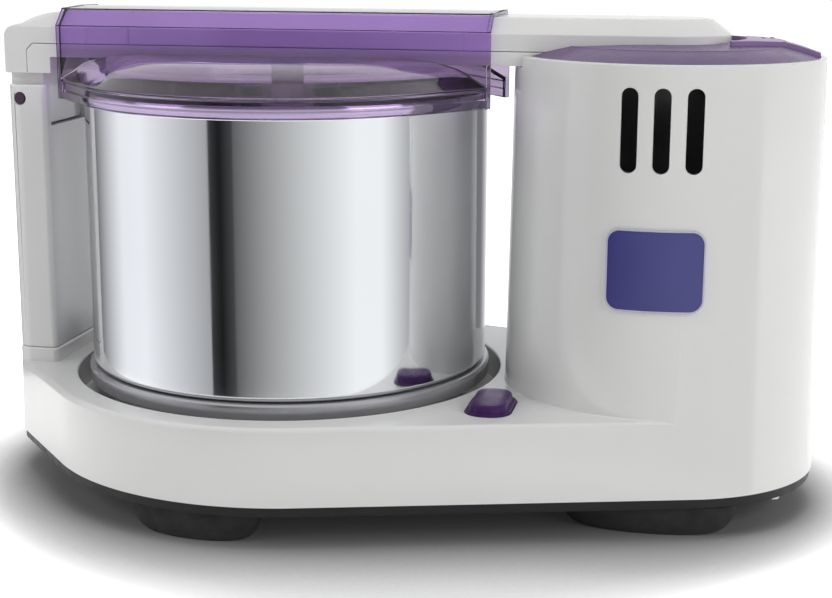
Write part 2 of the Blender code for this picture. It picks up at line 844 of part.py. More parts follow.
def badge_plate(material):
    """A bare, slightly curved plate that follows the tower's front wall."""
    height = (BADGE_LOW_Z + BADGE_HIGH_Z) / 2
    half_z = (BADGE_HIGH_Z - BADGE_LOW_Z) / 2
    face = rounded_box_outline(BADGE_MID_X, height, BADGE_HALF_WIDTH, half_z, BADGE_CORNER_R)
    rings = [[(x, y, z) for x, z, _ in ring(face, 0.0, 0.0)] for y in (-TOWER_HALF_Y - OVERRUN, 0.0)]
    badge = loft("badge_plate", rings, material)
    outline = tower_outline()
    shell = []
    for z in (BADGE_LOW_Z - OVERRUN, BADGE_HIGH_Z + OVERRUN):
        shell.append(ring(outline, draft(z) - TOWER_PROUD - GAP - BADGE_THICKNESS, z))
    keep_common(badge, loft("badge_shell", shell))
    core = []
    for z in (BADGE_LOW_Z - 2 * OVERRUN, BADGE_HIGH_Z + 2 * OVERRUN):
        core.append(ring(outline, draft(z) - TOWER_PROUD - GAP, z))
    cut(badge, loft("badge_core", core))
    return badge


def at_gland(thing):
    """Lays a turned piece square to the tower's back wall, its zero on the wall's outside."""
    angle = math.radians(GLAND_ANGLE)
    normal = Vector((math.cos(angle), math.sin(angle)))
    reach = Vector((TOWER_HALF_X * normal.x, TOWER_HALF_Y * normal.y)).length
    lean = draft(GLAND_Z) - TOWER_PROUD
    x = TOWER_X + TOWER_HALF_X ** 2 * normal.x / reach - lean * normal.x
    y = TOWER_HALF_Y ** 2 * normal.y / reach - lean * normal.y
    thing.location = (x, y, GLAND_Z)
    thing.rotation_euler = (0.0, math.radians(90), angle)
    return thing


def gland_hole():
    low = -3 * WALL
    hole = [(0.0, low), (GLAND_HOLE_R, low), (GLAND_HOLE_R, OVERRUN), (0.0, OVERRUN)]
    return at_gland(turned("gland_hole", hole, steps=SMALL_STEPS))


def cord_gland(material):
    """A rubber bush in the back wall; its bore is where the cord would come out."""
    outside = GAP
    inside = -WALL - GLAND_SAG
    body_r = GLAND_HOLE_R - GAP
    profile = [
        (GLAND_BORE_R, inside - GLAND_FLANGE_THICKNESS),
        (GLAND_FLANGE_R, inside - GLAND_FLANGE_THICKNESS),
        (GLAND_FLANGE_R, inside - GAP),
        (body_r, inside - GAP),
        (body_r, outside + GAP),
        (GLAND_FLANGE_R, outside + GAP),
        (GLAND_FLANGE_R, outside + GLAND_FLANGE_THICKNESS),
        (GLAND_TAIL_R, outside + GLAND_FLANGE_THICKNESS),
        (GLAND_TAIL_R, outside + GLAND_TAIL_LENGTH),
        (GLAND_BORE_R, outside + GLAND_TAIL_LENGTH),
    ]
    return at_gland(turned("cord_gland", profile, material, SMALL_STEPS))


# Arm post and hinge

def arm_post(material):
    low = DECK_Z + PEDESTAL_RISE + GAP
    outline = post_outline(0.0)
    post = plate("arm_post", outline, low, POST_TOP_Z, 0.0, material)
    cut(post, plate("post_hollow", outline, low - OVERRUN, POST_HOLLOW_TOP_Z, POST_WALL))
    half_y = TONGUE_HALF_Y + GAP
    slot_low = TONGUE_LOW_Z - RUNNING_GAP
    past_left = POST_OUTER_X - OVERRUN
    past_right = POST_INNER_X + OVERRUN
    past_top = POST_TOP_Z + OVERRUN
    cut(post, block("tongue_slot", (SLOT_BACK_X, -half_y, slot_low), (past_right, half_y, past_top)))
    cut(post, block("tongue_sill", (past_left, -half_y, SLOT_SILL_Z), (past_right, half_y, past_top)))
    past_side = POST_HALF_Y + OVERRUN
    cut(post, pin_along_y("post_pin_hole", PIN_X, PIN_Z, PIN_R + GAP, -past_side, past_side))
    return post


def hinge_pin(material):
    reach = POST_HALF_Y + PIN_PROUD
    return pin_along_y("hinge_pin", PIN_X, PIN_Z, PIN_R, -reach, reach, material)


# Swing arm

def arm_blank(name, left, inset, low, top, material=None):
    """The arm's body in plan, with its bevelled shoulders."""
    drop = ARM_TOP_Z - top
    return loft(name, [
        arm_ring(left, inset, low),
        arm_ring(left, inset, ARM_CREASE_Z - drop / 2),
        arm_ring(left, inset + ARM_BEVEL, ARM_BEVEL_TOP_Z - drop),
        arm_ring(left, inset + ARM_CROWN_INSET, top),
    ], material)


def arm_side_profile():
    """The upper shell seen from the front: a long beam, a low round corner and a short leg."""
    outer_x = ARM_LEFT_X - GAP
    middle_x = outer_x + ARM_CORNER_WIDTH
    middle_z = ARM_TOP_Z - ARM_CORNER_HEIGHT
    past_nose = ARM_NOSE_X + OVERRUN
    past_top = ARM_TOP_Z + OVERRUN
    profile = [(LEG_SEAM_X, LEG_BOTTOM_Z), (LEG_SEAM_X, ARM_SEAM_Z), (past_nose, ARM_SEAM_Z)]
    profile += [(past_nose, past_top), (middle_x, past_top)]
    corner_steps = SMALL_STEPS // 2
    for k in range(corner_steps + 1):
        angle = math.radians(90 + 90 * k / corner_steps)
        x = middle_x + ARM_CORNER_WIDTH * math.cos(angle)
        profile.append((x, middle_z + ARM_CORNER_HEIGHT * math.sin(angle)))
    profile.append((outer_x, LEG_BOTTOM_Z))
    return profile


def tongue_profile():
    """The hinge tongue in X and Z: a heel round the pin and a toe towards the drum."""
    top = ARM_SEAM_Z - OVERRUN
    left = PIN_X - TONGUE_HEEL_R
    shelf = LEG_BOTTOM_Z - GAP
    profile = [(left, top)]
    heel_steps = SMALL_STEPS // 4
    for k in range(heel_steps + 1):
        angle = math.radians(180 + 90 * k / heel_steps)
        x = PIN_X + TONGUE_HEEL_R * math.cos(angle)
        profile.append((x, PIN_Z + TONGUE_HEEL_R * math.sin(angle)))
    profile += [(TONGUE_TOE_X, TONGUE_LOW_Z), (TONGUE_RIGHT_X, TONGUE_LOW_Z), (TONGUE_RIGHT_X, shelf)]
    profile += [(LEG_SEAM_X, shelf), (LEG_SEAM_X, top)]
    return profile


def arm_shell(material):
    low = LEG_BOTTOM_Z - OVERRUN
    shell = arm_blank("arm_shell", ARM_LEFT_X, 0.0, low, ARM_TOP_Z, material)
    keep_common(shell, side_slab("arm_side", arm_side_profile(), ARM_HALF_Y + OVERRUN))
    hollow_left = ARM_LEFT_X + ARM_CORNER_WIDTH
    ceiling = ARM_TOP_Z - ARM_WALL
    cut(shell, arm_blank("arm_hollow", hollow_left, ARM_WALL, ARM_SEAM_Z - OVERRUN, ceiling))
    join(shell, side_slab("tongue", tongue_profile(), TONGUE_HALF_Y))
    reach = TONGUE_HALF_Y + OVERRUN
    cut(shell, pin_along_y("tongue_hole", PIN_X, PIN_Z, PIN_R + GAP, -reach, reach))
    return shell


def arm_cover(material):
    """The lower half of the arm, with a short leg and the plunger's hole."""
    top = ARM_SEAM_Z - GAP
    cover = arm_plate("arm_cover", ARM_LEFT_X, 0.0, LEG_BOTTOM_Z, top, material)
    left = LEG_SEAM_X + GAP
    past_nose = ARM_NOSE_X + OVERRUN
    profile = [(left, LEG_BOTTOM_Z - OVERRUN), (LEG_INNER_X, LEG_BOTTOM_Z - OVERRUN)]
    profile += [(LEG_INNER_X, ARM_BOTTOM_Z), (past_nose, ARM_BOTTOM_Z)]
    profile += [(past_nose, top + OVERRUN), (left, top + OVERRUN)]
    keep_common(cover, side_slab("cover_side", profile, ARM_HALF_Y + OVERRUN))
    hollow_left = ARM_LEFT_X + ARM_CORNER_WIDTH
    floor = ARM_BOTTOM_Z + ARM_WALL
    cut(cover, arm_plate("cover_hollow", hollow_left, ARM_WALL, floor, top + OVERRUN))
    radius = PLUNGER_R + RUNNING_GAP
    low = ARM_BOTTOM_Z - OVERRUN
    high = floor + OVERRUN
    hole = [(0.0, low), (radius, low), (radius, high), (0.0, high)]
    cut(cover, turned("plunger_hole", hole, steps=SMALL_STEPS, at=(DRUM_X, 0.0, 0.0)))
    return cover


def pressure_plunger(material):
    low = CARRIER_TOP_Z + GAP
    flange_low = ARM_BOTTOM_Z + ARM_WALL + GAP
    flange_top = flange_low + PLUNGER_FLANGE_HEIGHT
    profile = [(0.0, low), (PLUNGER_R, low), (PLUNGER_R, flange_low), (PLUNGER_FLANGE_R, flange_low)]
    profile += [(PLUNGER_FLANGE_R, flange_top), (PLUNGER_TAIL_R, flange_top)]
    profile += [(PLUNGER_TAIL_R, PLUNGER_TAIL_TOP_Z), (0.0, PLUNGER_TAIL_TOP_Z)]
    return turned("pressure_plunger", profile, material, SMALL_STEPS, (DRUM_X, 0.0, 0.0))


def plunger_spring(material):
    low = ARM_BOTTOM_Z + ARM_WALL + GAP + PLUNGER_FLANGE_HEIGHT + GAP
    top = ARM_TOP_Z - ARM_WALL - GAP
    inner = SPRING_R - SPRING_WIRE
    profile = [(inner, low), (SPRING_R, low), (SPRING_R, top), (inner, top)]
    return turned("plunger_spring", profile, material, SMALL_STEPS, (DRUM_X, 0.0, 0.0))


# Lid

def lid_outline():
    """The lid in plan: the drum's round drawn out to the four corners of the hood."""
    half_y = ARM_HALF_Y + HOOD_SIDE_GAP + HOOD_WALL - LID_CORNER_R
    rounds = [(DRUM_X, 0.0, LID_R, LID_R)]
    for x in (HOOD_LEFT_X + GAP + LID_CORNER_R, HOOD_RIGHT_X - GAP - LID_CORNER_R):
        for y in (-half_y, half_y):
            rounds.append((x, y, LID_CORNER_R, LID_CORNER_R))
    return support_outline(rounds, OUTLINE_STEPS)


def lid_dome(name, inset, low, drop, material=None):
    """The lid's skirt and dome, as a solid down to low."""
    rim = ring(lid_outline(), inset, low)
    rings = [rim]
    for radius_share, drop_share in LID_DOME_SHARES[::-1]:
        height = LID_TOP_Z - (LID_TOP_Z - LID_EDGE_Z) * drop_share - drop
        rings.append([(DRUM_X + (x - DRUM_X) * radius_share, y * radius_share, height) for x, y, _ in rim])
    return loft(name, rings, material)


def hood_section(grow, grow_up, low):
    """The hood's cross-section in Y and Z round the arm."""
    half = ARM_HALF_Y + HOOD_SIDE_GAP + grow
    crease = ARM_CREASE_Z + GAP + grow_up / 2
    roof = ARM_TOP_Z + GAP + grow_up
    crown = roof + HOOD_CROWN if grow else roof
    shoulder = half - ARM_BEVEL
    return [(-half, low), (half, low), (half, crease), (shoulder, roof), (0.0, crown), (-shoulder, roof),
            (-half, crease)]


def hood_bar(name, section, left, right):
    return loft(name, [[(x, y, z) for y, z in section] for x in (left, right)])


def drum_lid(material):
    lid = lid_dome("drum_lid", 0.0, LID_SKIRT_Z, 0.0, material)
    section = hood_section(HOOD_WALL, HOOD_WALL, LID_SKIRT_Z)
    join(lid, hood_bar("hood_outer", section, HOOD_LEFT_X, HOOD_RIGHT_X))
    low = LID_SKIRT_Z - OVERRUN
    cut(lid, lid_dome("lid_hollow", LID_WALL, low, LID_WALL))
    channel = hood_section(0.0, 0.0, low)
    cut(lid, hood_bar("hood_channel", channel, HOOD_LEFT_X - OVERRUN, HOOD_RIGHT_X + OVERRUN))
    return lid


# Drum and what turns with it

def drum(material):
    """Thin steel bowl with a rolled bead at its rim."""
    inner = DRUM_R - DRUM_WALL
    floor = DRUM_BOTTOM_Z + DRUM_WALL
    bead_low = DRUM_RIM_Z - DRUM_BEAD_HEIGHT
    bead_mid = DRUM_RIM_Z - DRUM_BEAD_HEIGHT / 2
    bead_edge = (DRUM_R + DRUM_BEAD_R) / 2
    profile = [
        (0.0, DRUM_BOTTOM_Z),
        (DRUM_R - DRUM_FOOT_R, DRUM_BOTTOM_Z),
        (DRUM_R, DRUM_BOTTOM_Z + DRUM_FOOT_R),
        (DRUM_R, bead_low),
        (bead_edge, bead_low),
        (DRUM_BEAD_R, bead_mid - DRUM_WALL),
        (DRUM_BEAD_R, bead_mid + DRUM_WALL),
        (bead_edge, DRUM_RIM_Z),
        (inner, DRUM_RIM_Z),
        (inner, floor + DRUM_FOOT_R),
        (inner - DRUM_FOOT_R, floor),
        (0.0, floor),
    ]
    return turned("drum", profile, material, at=(DRUM_X, 0.0, 0.0))


def drum_base(material):
    """Grey moulding under the drum, with a rim and a drive socket."""
    top = DRUM_BOTTOM_Z - GAP
    under = top - DRUM_BASE_PLATE
    rim_inner = DRUM_BASE_R - DRUM_BASE_RIM
    profile = [
        (0.0, SOCKET_LOW_Z),
        (SOCKET_R, SOCKET_LOW_Z),
        (SOCKET_R, under),
        (rim_inner, under),
        (rim_inner, DRUM_BASE_LOW_Z),
        (DRUM_BASE_R - DRUM_WALL, DRUM_BASE_LOW_Z),
        (DRUM_BASE_R, DRUM_BASE_LOW_Z + DRUM_WALL),
        (DRUM_BASE_R, top - DRUM_WALL),
        (DRUM_BASE_R - DRUM_WALL, top),
        (0.0, top),
    ]
    at = (DRUM_X, 0.0, 0.0)
    base = turned("drum_base", profile, material, at=at)
    radius = DOG_R + RUNNING_GAP
    low = SOCKET_LOW_Z - OVERRUN
    high = top + OVERRUN
    socket = [(0.0, low), (radius, low), (radius, high), (0.0, high)]
    cut(base, turned("drive_socket", socket, steps=DOG_SIDES, at=at))
    return base


def bed_stone(material):
    low = DRUM_BOTTOM_Z + DRUM_WALL + GAP
    edge = BED_STONE_R - STONE_EDGE
    profile = [
        (BED_STONE_BORE_R, low),
        (edge - STONE_EDGE, low),
        (BED_STONE_R, low + 2 * STONE_EDGE),
        (BED_STONE_R, STONE_BED_Z - STONE_EDGE),
        (edge, STONE_BED_Z),
        (BED_STONE_BORE_R, STONE_BED_Z),
    ]
    return turned("bed_stone", profile, material, at=(DRUM_X, 0.0, 0.0))


def drum_shaft(material):
    low = DRUM_BOTTOM_Z + DRUM_WALL + GAP
    foot_top = low + DRUM_SHAFT_FOOT_HEIGHT
    profile = [
        (0.0, low),
        (DRUM_SHAFT_FOOT_R, low),
        (DRUM_SHAFT_FOOT_R, foot_top),
        (DRUM_SHAFT_R, foot_top),
        (DRUM_SHAFT_R, DRUM_SHAFT_TOP_Z - STONE_EDGE),
        (DRUM_SHAFT_R - STONE_EDGE, DRUM_SHAFT_TOP_Z),
        (0.0, DRUM_SHAFT_TOP_Z),
    ]
    return turned("drum_shaft", profile, material, SMALL_STEPS, (DRUM_X, 0.0, 0.0))


# Stones that roll on the bed stone

def along_roller(thing, side):
    """Lays a turned piece on a roller's axis: its zero goes to the bed stone's middle."""
    thing.location = (DRUM_X, 0.0, STONE_BED_Z + STONE_LIFT)
    thing.rotation_euler = (math.radians(-side * (90 - STONE_TILT)), 0.0, 0.0)
    return thing


def roller_stone(name, side, material):
    """A blunt granite cone whose point would lie at the drum's axis."""
    spread = math.tan(math.radians(STONE_TILT))
    bore = AXLE_R + RUNNING_GAP
    profile = [
        (bore, STONE_INNER),
        (STONE_INNER * spread - STONE_EDGE, STONE_INNER),
        ((STONE_INNER + STONE_EDGE) * spread, STONE_INNER + STONE_EDGE),
        ((STONE_OUTER - STONE_EDGE) * spread, STONE_OUTER - STONE_EDGE),
        (STONE_OUTER * spread - STONE_EDGE, STONE_OUTER),
        (bore, STONE_OUTER),
    ]
    return along_roller(turned(name, profile, material, 2 * SMALL_STEPS), side)


def roller_axle(name, side, material):
    cap_low = STONE_OUTER + GAP
    cap_top = cap_low + AXLE_CAP_THICKNESS
    profile = [
        (0.0, AXLE_INNER),
        (AXLE_R, AXLE_INNER),
        (AXLE_R, cap_low),
        (AXLE_CAP_R, cap_low),
        (AXLE_CAP_R, cap_top),
        (AXLE_R, AXLE_OUTER),
        (0.0, AXLE_OUTER),
    ]
    return along_roller(turned(name, profile, material, SMALL_STEPS), side)


def stone_carrier(material):
    """Sleeve over the drum's shaft that holds both roller axles."""
    low = STONE_BED_Z + CARRIER_LOW_RISE
    collar_top = low + CARRIER_COLLAR_HEIGHT
    at = (DRUM_X, 0.0, 0.0)
    profile = [
        (0.0, low),
        (CARRIER_COLLAR_R, low),
        (CARRIER_COLLAR_R, collar_top - CARRIER_R / 2),
        (CARRIER_R, collar_top),
        (CARRIER_R, CARRIER_TOP_Z),
        (0.0, CARRIER_TOP_Z),
    ]
    carrier = turned("stone_carrier", profile, material, SMALL_STEPS, at)
    boss = [(0.0, BOSS_INNER), (BOSS_R, BOSS_INNER), (BOSS_R, BOSS_OUTER), (0.0, BOSS_OUTER)]
    radius = AXLE_R + GAP
    hole_low = AXLE_INNER - GAP
    hole_top = BOSS_OUTER + OVERRUN
    hole = [(0.0, hole_low), (radius, hole_low), (radius, hole_top), (0.0, hole_top)]
    for side in (-1, 1):
        join(carrier, along_roller(turned(f"boss_{side}", boss, steps=SMALL_STEPS), side))
    for side in (-1, 1):
        cut(carrier, along_roller(turned(f"axle_hole_{side}", hole, steps=SMALL_STEPS), side))
    bore_r = DRUM_SHAFT_R + RUNNING_GAP
    bore_top = DRUM_SHAFT_TOP_Z + RUNNING_GAP
    bore = [(0.0, low - OVERRUN), (bore_r, low - OVERRUN), (bore_r, bore_top), (0.0, bore_top)]
    cut(carrier, turned("carrier_bore", bore, steps=SMALL_STEPS, at=at))
    return carrier


def batter_scraper(material):
    """Blade along the drum's wall, on a ring round the carrier."""
    at = (DRUM_X, 0.0, 0.0)
    inner = CARRIER_R + GAP
    low = SCRAPER_RING_LOW_Z
    top = low + SCRAPER_RING_HEIGHT
    profile = [(inner, low), (SCRAPER_RING_R, low), (SCRAPER_RING_R, top), (inner, top)]
    scraper = turned("batter_scraper", profile, material, SMALL_STEPS, at)
    reach = DRUM_X - (DRUM_R - DRUM_WALL - SCRAPER_WALL_GAP)
    start = DRUM_X - (inner + SCRAPER_RING_R) / 2
    half = SCRAPER_ARM_HALF_Y
    bar_low = low + SCRAPER_STEP
    bar_top = top - SCRAPER_STEP
    join(scraper, block("scraper_bar", (reach + half, -half, bar_low), (start, half, bar_top)))
    thick = SCRAPER_BLADE_HALF_Y
    blade_top = top - 2 * SCRAPER_STEP
    blade_low = SCRAPER_BLADE_LOW_Z
    blade = block("scraper_blade", (reach, -thick, blade_low), (reach + SCRAPER_BLADE_X, thick, blade_top))
    join(scraper, blade)
    return scraper


# Drive train

def spindle(material):
    profile = [(0.0, SPINDLE_LOW_Z), (SPINDLE_R, SPINDLE_LOW_Z), (SPINDLE_R, SPINDLE_TOP_Z), (0.0, SPINDLE_TOP_Z)]
    return turned("spindle", profile, material, SMALL_STEPS, (DRUM_X, 0.0, 0.0))


def tube(name, inner, outer, low, high, material, at=(DRUM_X, 0.0, 0.0)):
    profile = [(inner, low), (outer, low), (outer, high), (inner, high)]
    return turned(name, profile, material, SMALL_STEPS, at)


def bearing_hub(material):
    """Flanged tube that hangs the bearings under the drip well."""
    seat = HUB_R - HUB_WALL
    flange_top = WELL_FLOOR_Z - WALL - GAP
    flange_low = flange_top - HUB_FLANGE_THICKNESS
    profile = [
        (seat, HUB_LOW_Z),
        (HUB_R, HUB_LOW_Z),
        (HUB_R, flange_low),
        (HUB_FLANGE_R, flange_low),
        (HUB_FLANGE_R, flange_top),
        (HUB_R, flange_top),
        (HUB_R, HUB_TOP_Z),
        (seat, HUB_TOP_Z),
    ]
    return turned("bearing_hub", profile, material, SMALL_STEPS, (DRUM_X, 0.0, 0.0))


def bearings(steel, rubber):
    inner = SPINDLE_R + GAP
    outer = HUB_R - HUB_WALL - GAP
    low = HUB_LOW_Z
    tube("lower_bearing", inner, outer, low, low + BEARING_HEIGHT, steel)
    seal_low = HUB_TOP_Z - SEAL_HEIGHT
    upper_top = seal_low - GAP
    tube("upper_bearing", inner, outer, upper_top - BEARING_HEIGHT, upper_top, steel)
    tube("shaft_seal", inner, outer, seal_low, HUB_TOP_Z, rubber)


def drive_dog(material):
    at = (DRUM_X, 0.0, 0.0)
    bore = SPINDLE_R + GAP
    profile = [(0.0, DOG_LOW_Z), (DOG_R, DOG_LOW_Z), (DOG_R, SPINDLE_TOP_Z), (0.0, SPINDLE_TOP_Z)]
    dog = turned("drive_dog", profile, material, DOG_SIDES, at)
    low = DOG_LOW_Z - OVERRUN
    high = SPINDLE_TOP_Z + OVERRUN
    hole = [(0.0, low), (bore, low), (bore, high), (0.0, high)]
    cut(dog, turned("dog_bore", hole, steps=SMALL_STEPS, at=at))
    return dog


def drive_pulley(material):
    top = PULLEY_LOW_Z + PULLEY_HEIGHT
    web_low = PULLEY_LOW_Z + (PULLEY_HEIGHT - PULLEY_WEB) / 2
    web_top = web_low + PULLEY_WEB
    rim_inner = PULLEY_R - PULLEY_RIM
    profile = [
        (SPINDLE_R + GAP, PULLEY_LOW_Z),
        (PULLEY_HUB_R, PULLEY_LOW_Z),
        (PULLEY_HUB_R, web_low),
        (rim_inner, web_low),
        (rim_inner, PULLEY_LOW_Z),
        (PULLEY_R, PULLEY_LOW_Z),
        (PULLEY_R, top),
        (rim_inner, top),
        (rim_inner, web_top),
        (PULLEY_HUB_R, web_top),
        (PULLEY_HUB_R, top),
        (SPINDLE_R + GAP, top),
    ]
    return turned("drive_pulley", profile, material, at=(DRUM_X, 0.0, 0.0))


def drive_belt(material):
    rounds = [
        (DRUM_X, 0.0, PULLEY_R, PULLEY_R),
        (TOWER_X, 0.0, MOTOR_PULLEY_R, MOTOR_PULLEY_R),
    ]
    outline = support_outline(rounds, LARGE_STEPS)
    top = BELT_LOW_Z + BELT_HEIGHT
    reach = GAP + BELT_THICKNESS
    belt = plate("drive_belt", outline, BELT_LOW_Z, top, -reach, material)
    cut(belt, plate("belt_inside", outline, BELT_LOW_Z - OVERRUN, top + OVERRUN, -GAP))
    return belt


def motor_pieces(steel, aluminium, iron, plastic):
    """Motor on its bracket, with rotor shaft, pulley and fan on one axis."""
    at = (TOWER_X, 0.0, 0.0)
    low = BRACKET_TOP_Z + GAP
    top = low + MOTOR_HEIGHT
    bore = MOTOR_SHAFT_R + RUNNING_GAP
    profile = [
        (bore, low),
        (MOTOR_R, low),
        (MOTOR_R, top - MOTOR_END_HEIGHT),
        (MOTOR_END_R, top),
        (bore, top),
    ]
    turned("motor_body", profile, iron, LARGE_STEPS // 2, at)
    end = PULLEY_LOW_Z - GAP
    shaft = [(0.0, end), (MOTOR_SHAFT_R, end), (MOTOR_SHAFT_R, MOTOR_SHAFT_TOP_Z), (0.0, MOTOR_SHAFT_TOP_Z)]
    rotor = turned("rotor_shaft", shaft, steel, SMALL_STEPS, at)
    pulley_top = PULLEY_LOW_Z + PULLEY_HEIGHT
    seat = MOTOR_SHAFT_R + GAP
    pulley = tube("motor_pulley", seat, MOTOR_PULLEY_R, PULLEY_LOW_Z, pulley_top, aluminium, at)
    fan = cooling_fan(top + RUNNING_GAP, plastic)
    return [rotor, pulley, fan]


def cooling_fan(low, material):
    """Radial fan: straight blades round a hub, with a bore for the rotor shaft."""
    outline = []
    per_blade = 2 * math.pi / FAN_BLADES
    for blade in range(FAN_BLADES):
        start = blade * per_blade
        root = math.asin(FAN_BLADE_SHARE * per_blade / 2)
        tip = root * FAN_HUB_R / FAN_R
        for radius, angle in ((FAN_HUB_R, -root), (FAN_R, -tip), (FAN_R, tip), (FAN_HUB_R, root)):
            outline.append((radius * math.cos(start + angle), radius * math.sin(start + angle)))
    top = low + FAN_HEIGHT
    fan = loft("cooling_fan", [[(x, y, z) for x, y in outline] for z in (low, top)], material)
    fan.location = (TOWER_X, 0.0, 0.0)
    bore = MOTOR_SHAFT_R + GAP
    hole = [(0.0, low - OVERRUN), (bore, low - OVERRUN), (bore, top + OVERRUN), (0.0, top + OVERRUN)]
    cut(fan, turned("fan_bore", hole, steps=SMALL_STEPS, at=(TOWER_X, 0.0, 0.0)))
    return fan


def motor_bracket(material):
    """Steel table over the belt: an oval top on four legs."""
    outline = support_outline([(TOWER_X, 0.0, BRACKET_HALF_X, BRACKET_HALF_Y)], LARGE_STEPS // 2)
    low = BRACKET_TOP_Z - BRACKET_THICKNESS
    table = plate("motor_bracket", outline, low, BRACKET_TOP_Z, 0.0, material)
    foot_z = PLATE_TOP_Z + GAP
    for side_x in (-1, 1):
        for side_y in (-1, 1):
            x = TOWER_X + side_x * BRACKET_LEG_X
            y = side_y * BRACKET_LEG_Y
            half = BRACKET_LEG_HALF
            leg_top = BRACKET_TOP_Z - BRACKET_THICKNESS / 2
            leg = block(f"leg_{side_x}_{side_y}", (x - half, y - half, foot_z), (x + half, y + half, leg_top))
            join(table, leg)
    hole_r = MOTOR_PULLEY_R + RUNNING_GAP
    past_low = low - OVERRUN
    past_top = BRACKET_TOP_Z + OVERRUN
    hole = [(0.0, past_low), (hole_r, past_low), (hole_r, past_top), (0.0, past_top)]
    cut(table, turned("bracket_hole", hole, steps=SMALL_STEPS, at=(TOWER_X, 0.0, 0.0)))
    return table


def run_capacitor(material):
    low = BRACKET_TOP_Z + GAP
    top = low + CAPACITOR_HEIGHT
    edge = CAPACITOR_R - CAPACITOR_EDGE
    profile = [(0.0, low), (CAPACITOR_R, low), (CAPACITOR_R, top - CAPACITOR_EDGE), (edge, top), (0.0, top)]
    return turned("run_capacitor", profile, material, SMALL_STEPS, (CAPACITOR_X, 0.0, 0.0))


# Power button

def power_button(material):
    """Push button through the deck, with a lip under the deck and a stem on the switch."""
    outline = rounded_box_outline(BUTTON_X, BUTTON_Y, BUTTON_HALF_X, BUTTON_HALF_Y, BUTTON_CORNER_R)
    lip_top = DECK_Z - WALL - GAP
    lip_low = lip_top - BUTTON_FLANGE_HEIGHT
    top = DECK_Z + BUTTON_PROUD
    button = loft("power_button", [
        ring(outline, 0.0, lip_low + BUTTON_FLANGE_HEIGHT / 2),
        ring(outline, 0.0, top - BUTTON_CROWN),
        ring(outline, BUTTON_CROWN_INSET / 2, top - BUTTON_CROWN / 3),
        ring(outline, BUTTON_CROWN_INSET, top),
    ], material)
    lip_half_y = BUTTON_HALF_Y + BUTTON_FLANGE_LIP
    lip_half_x = BUTTON_HALF_X - 2 * BUTTON_FLANGE_LIP
    lip = rounded_box_outline(BUTTON_X, BUTTON_Y, lip_half_x, lip_half_y, BUTTON_CORNER_R)
    join(button, plate("button_lip", lip, lip_low, lip_top))
    half = BUTTON_STEM_HALF
    stem_low = (BUTTON_X - half, BUTTON_Y - half, BUTTON_STEM_LOW_Z)
    stem_high = (BUTTON_X + half, BUTTON_Y + half, lip_low + BUTTON_FLANGE_HEIGHT / 3)
    join(button, block("button_stem", stem_low, stem_high))
    return button


def switch_body(material):
    """Switch that hangs from the deck on its two raised ends."""
    top = DECK_Z - WALL - GAP
    low_corner = (BUTTON_X - SWITCH_HALF_X, BUTTON_Y - SWITCH_HALF_Y, SWITCH_LOW_Z)
    high_corner = (BUTTON_X + SWITCH_HALF_X, BUTTON_Y + SWITCH_HALF_Y, top)
    body = block("switch_body", low_corner, high_corner, material)
    half_y = SWITCH_HALF_Y - SWITCH_END
    past = SWITCH_HALF_X + OVERRUN
    trough_low = (BUTTON_X - past, BUTTON_Y - half_y, SWITCH_FLOOR_Z)
    trough_high = (BUTTON_X + past, BUTTON_Y + half_y, top + OVERRUN)
    cut(body, block("switch_trough", trough_low, trough_high))
    return body


# Tower cap and release button

def cap_dome(name, inset, low, drop, material=None):
    """A shallow dome over the tower's mouth, as a solid down to low."""
    outline = tower_outline()
    start = WALL + draft(TOWER_TOP_Z) + GAP + inset
    reach = min(TOWER_HALF_X, TOWER_HALF_Y) ** 2 / max(TOWER_HALF_X, TOWER_HALF_Y) - start
    rings = [ring(outline, start, low)]
    for inset_share, rise_share in CAP_DOME_SHARES:
        height = CAP_EDGE_Z + CAP_RISE * rise_share - drop
        rings.append(ring(outline, start + reach * inset_share, height))
    return loft(name, rings, material)


def release_outline():
    """A crescent between the arm's nose and the cap's right edge."""
    half_angle = math.radians(RELEASE_HALF_ANGLE)
    start = WALL + draft(TOWER_TOP_Z) + GAP + RELEASE_EDGE
    half_x = TOWER_HALF_X - start
    half_y = TOWER_HALF_Y - start
    steps = SMALL_STEPS // 2
    outer = []
    inner = []
    nose_middle = ARM_NOSE_X - ARM_HALF_Y
    for k in range(steps + 1):
        angle = half_angle * (2 * k / steps - 1)
        outer.append(Vector((TOWER_X + half_x * math.cos(angle), half_y * math.sin(angle))))
        inner.append(Vector((nose_middle + RELEASE_INNER_R * math.cos(angle), RELEASE_INNER_R * math.sin(angle))))
    return outer + inner[::-1]


def shrink(points, amount):
    """Moves each corner of a closed outline inwards by amount."""
    count = len(points)
    result = []
    for k, here in enumerate(points):
        before = (here - points[k - 1]).normalized()
        after = (points[(k + 1) % count] - here).normalized()
        left_before = Vector((-before.y, before.x))
        left_after = Vector((-after.y, after.x))
        middle = (left_before + left_after).normalized()
        result.append(here + middle * (amount / middle.dot(left_after)))
    return result


def release_prism(name, inset, low, high):
    points = shrink(release_outline(), inset)
    return loft(name, [[(p.x, p.y, z) for p in points] for z in (low, high)])


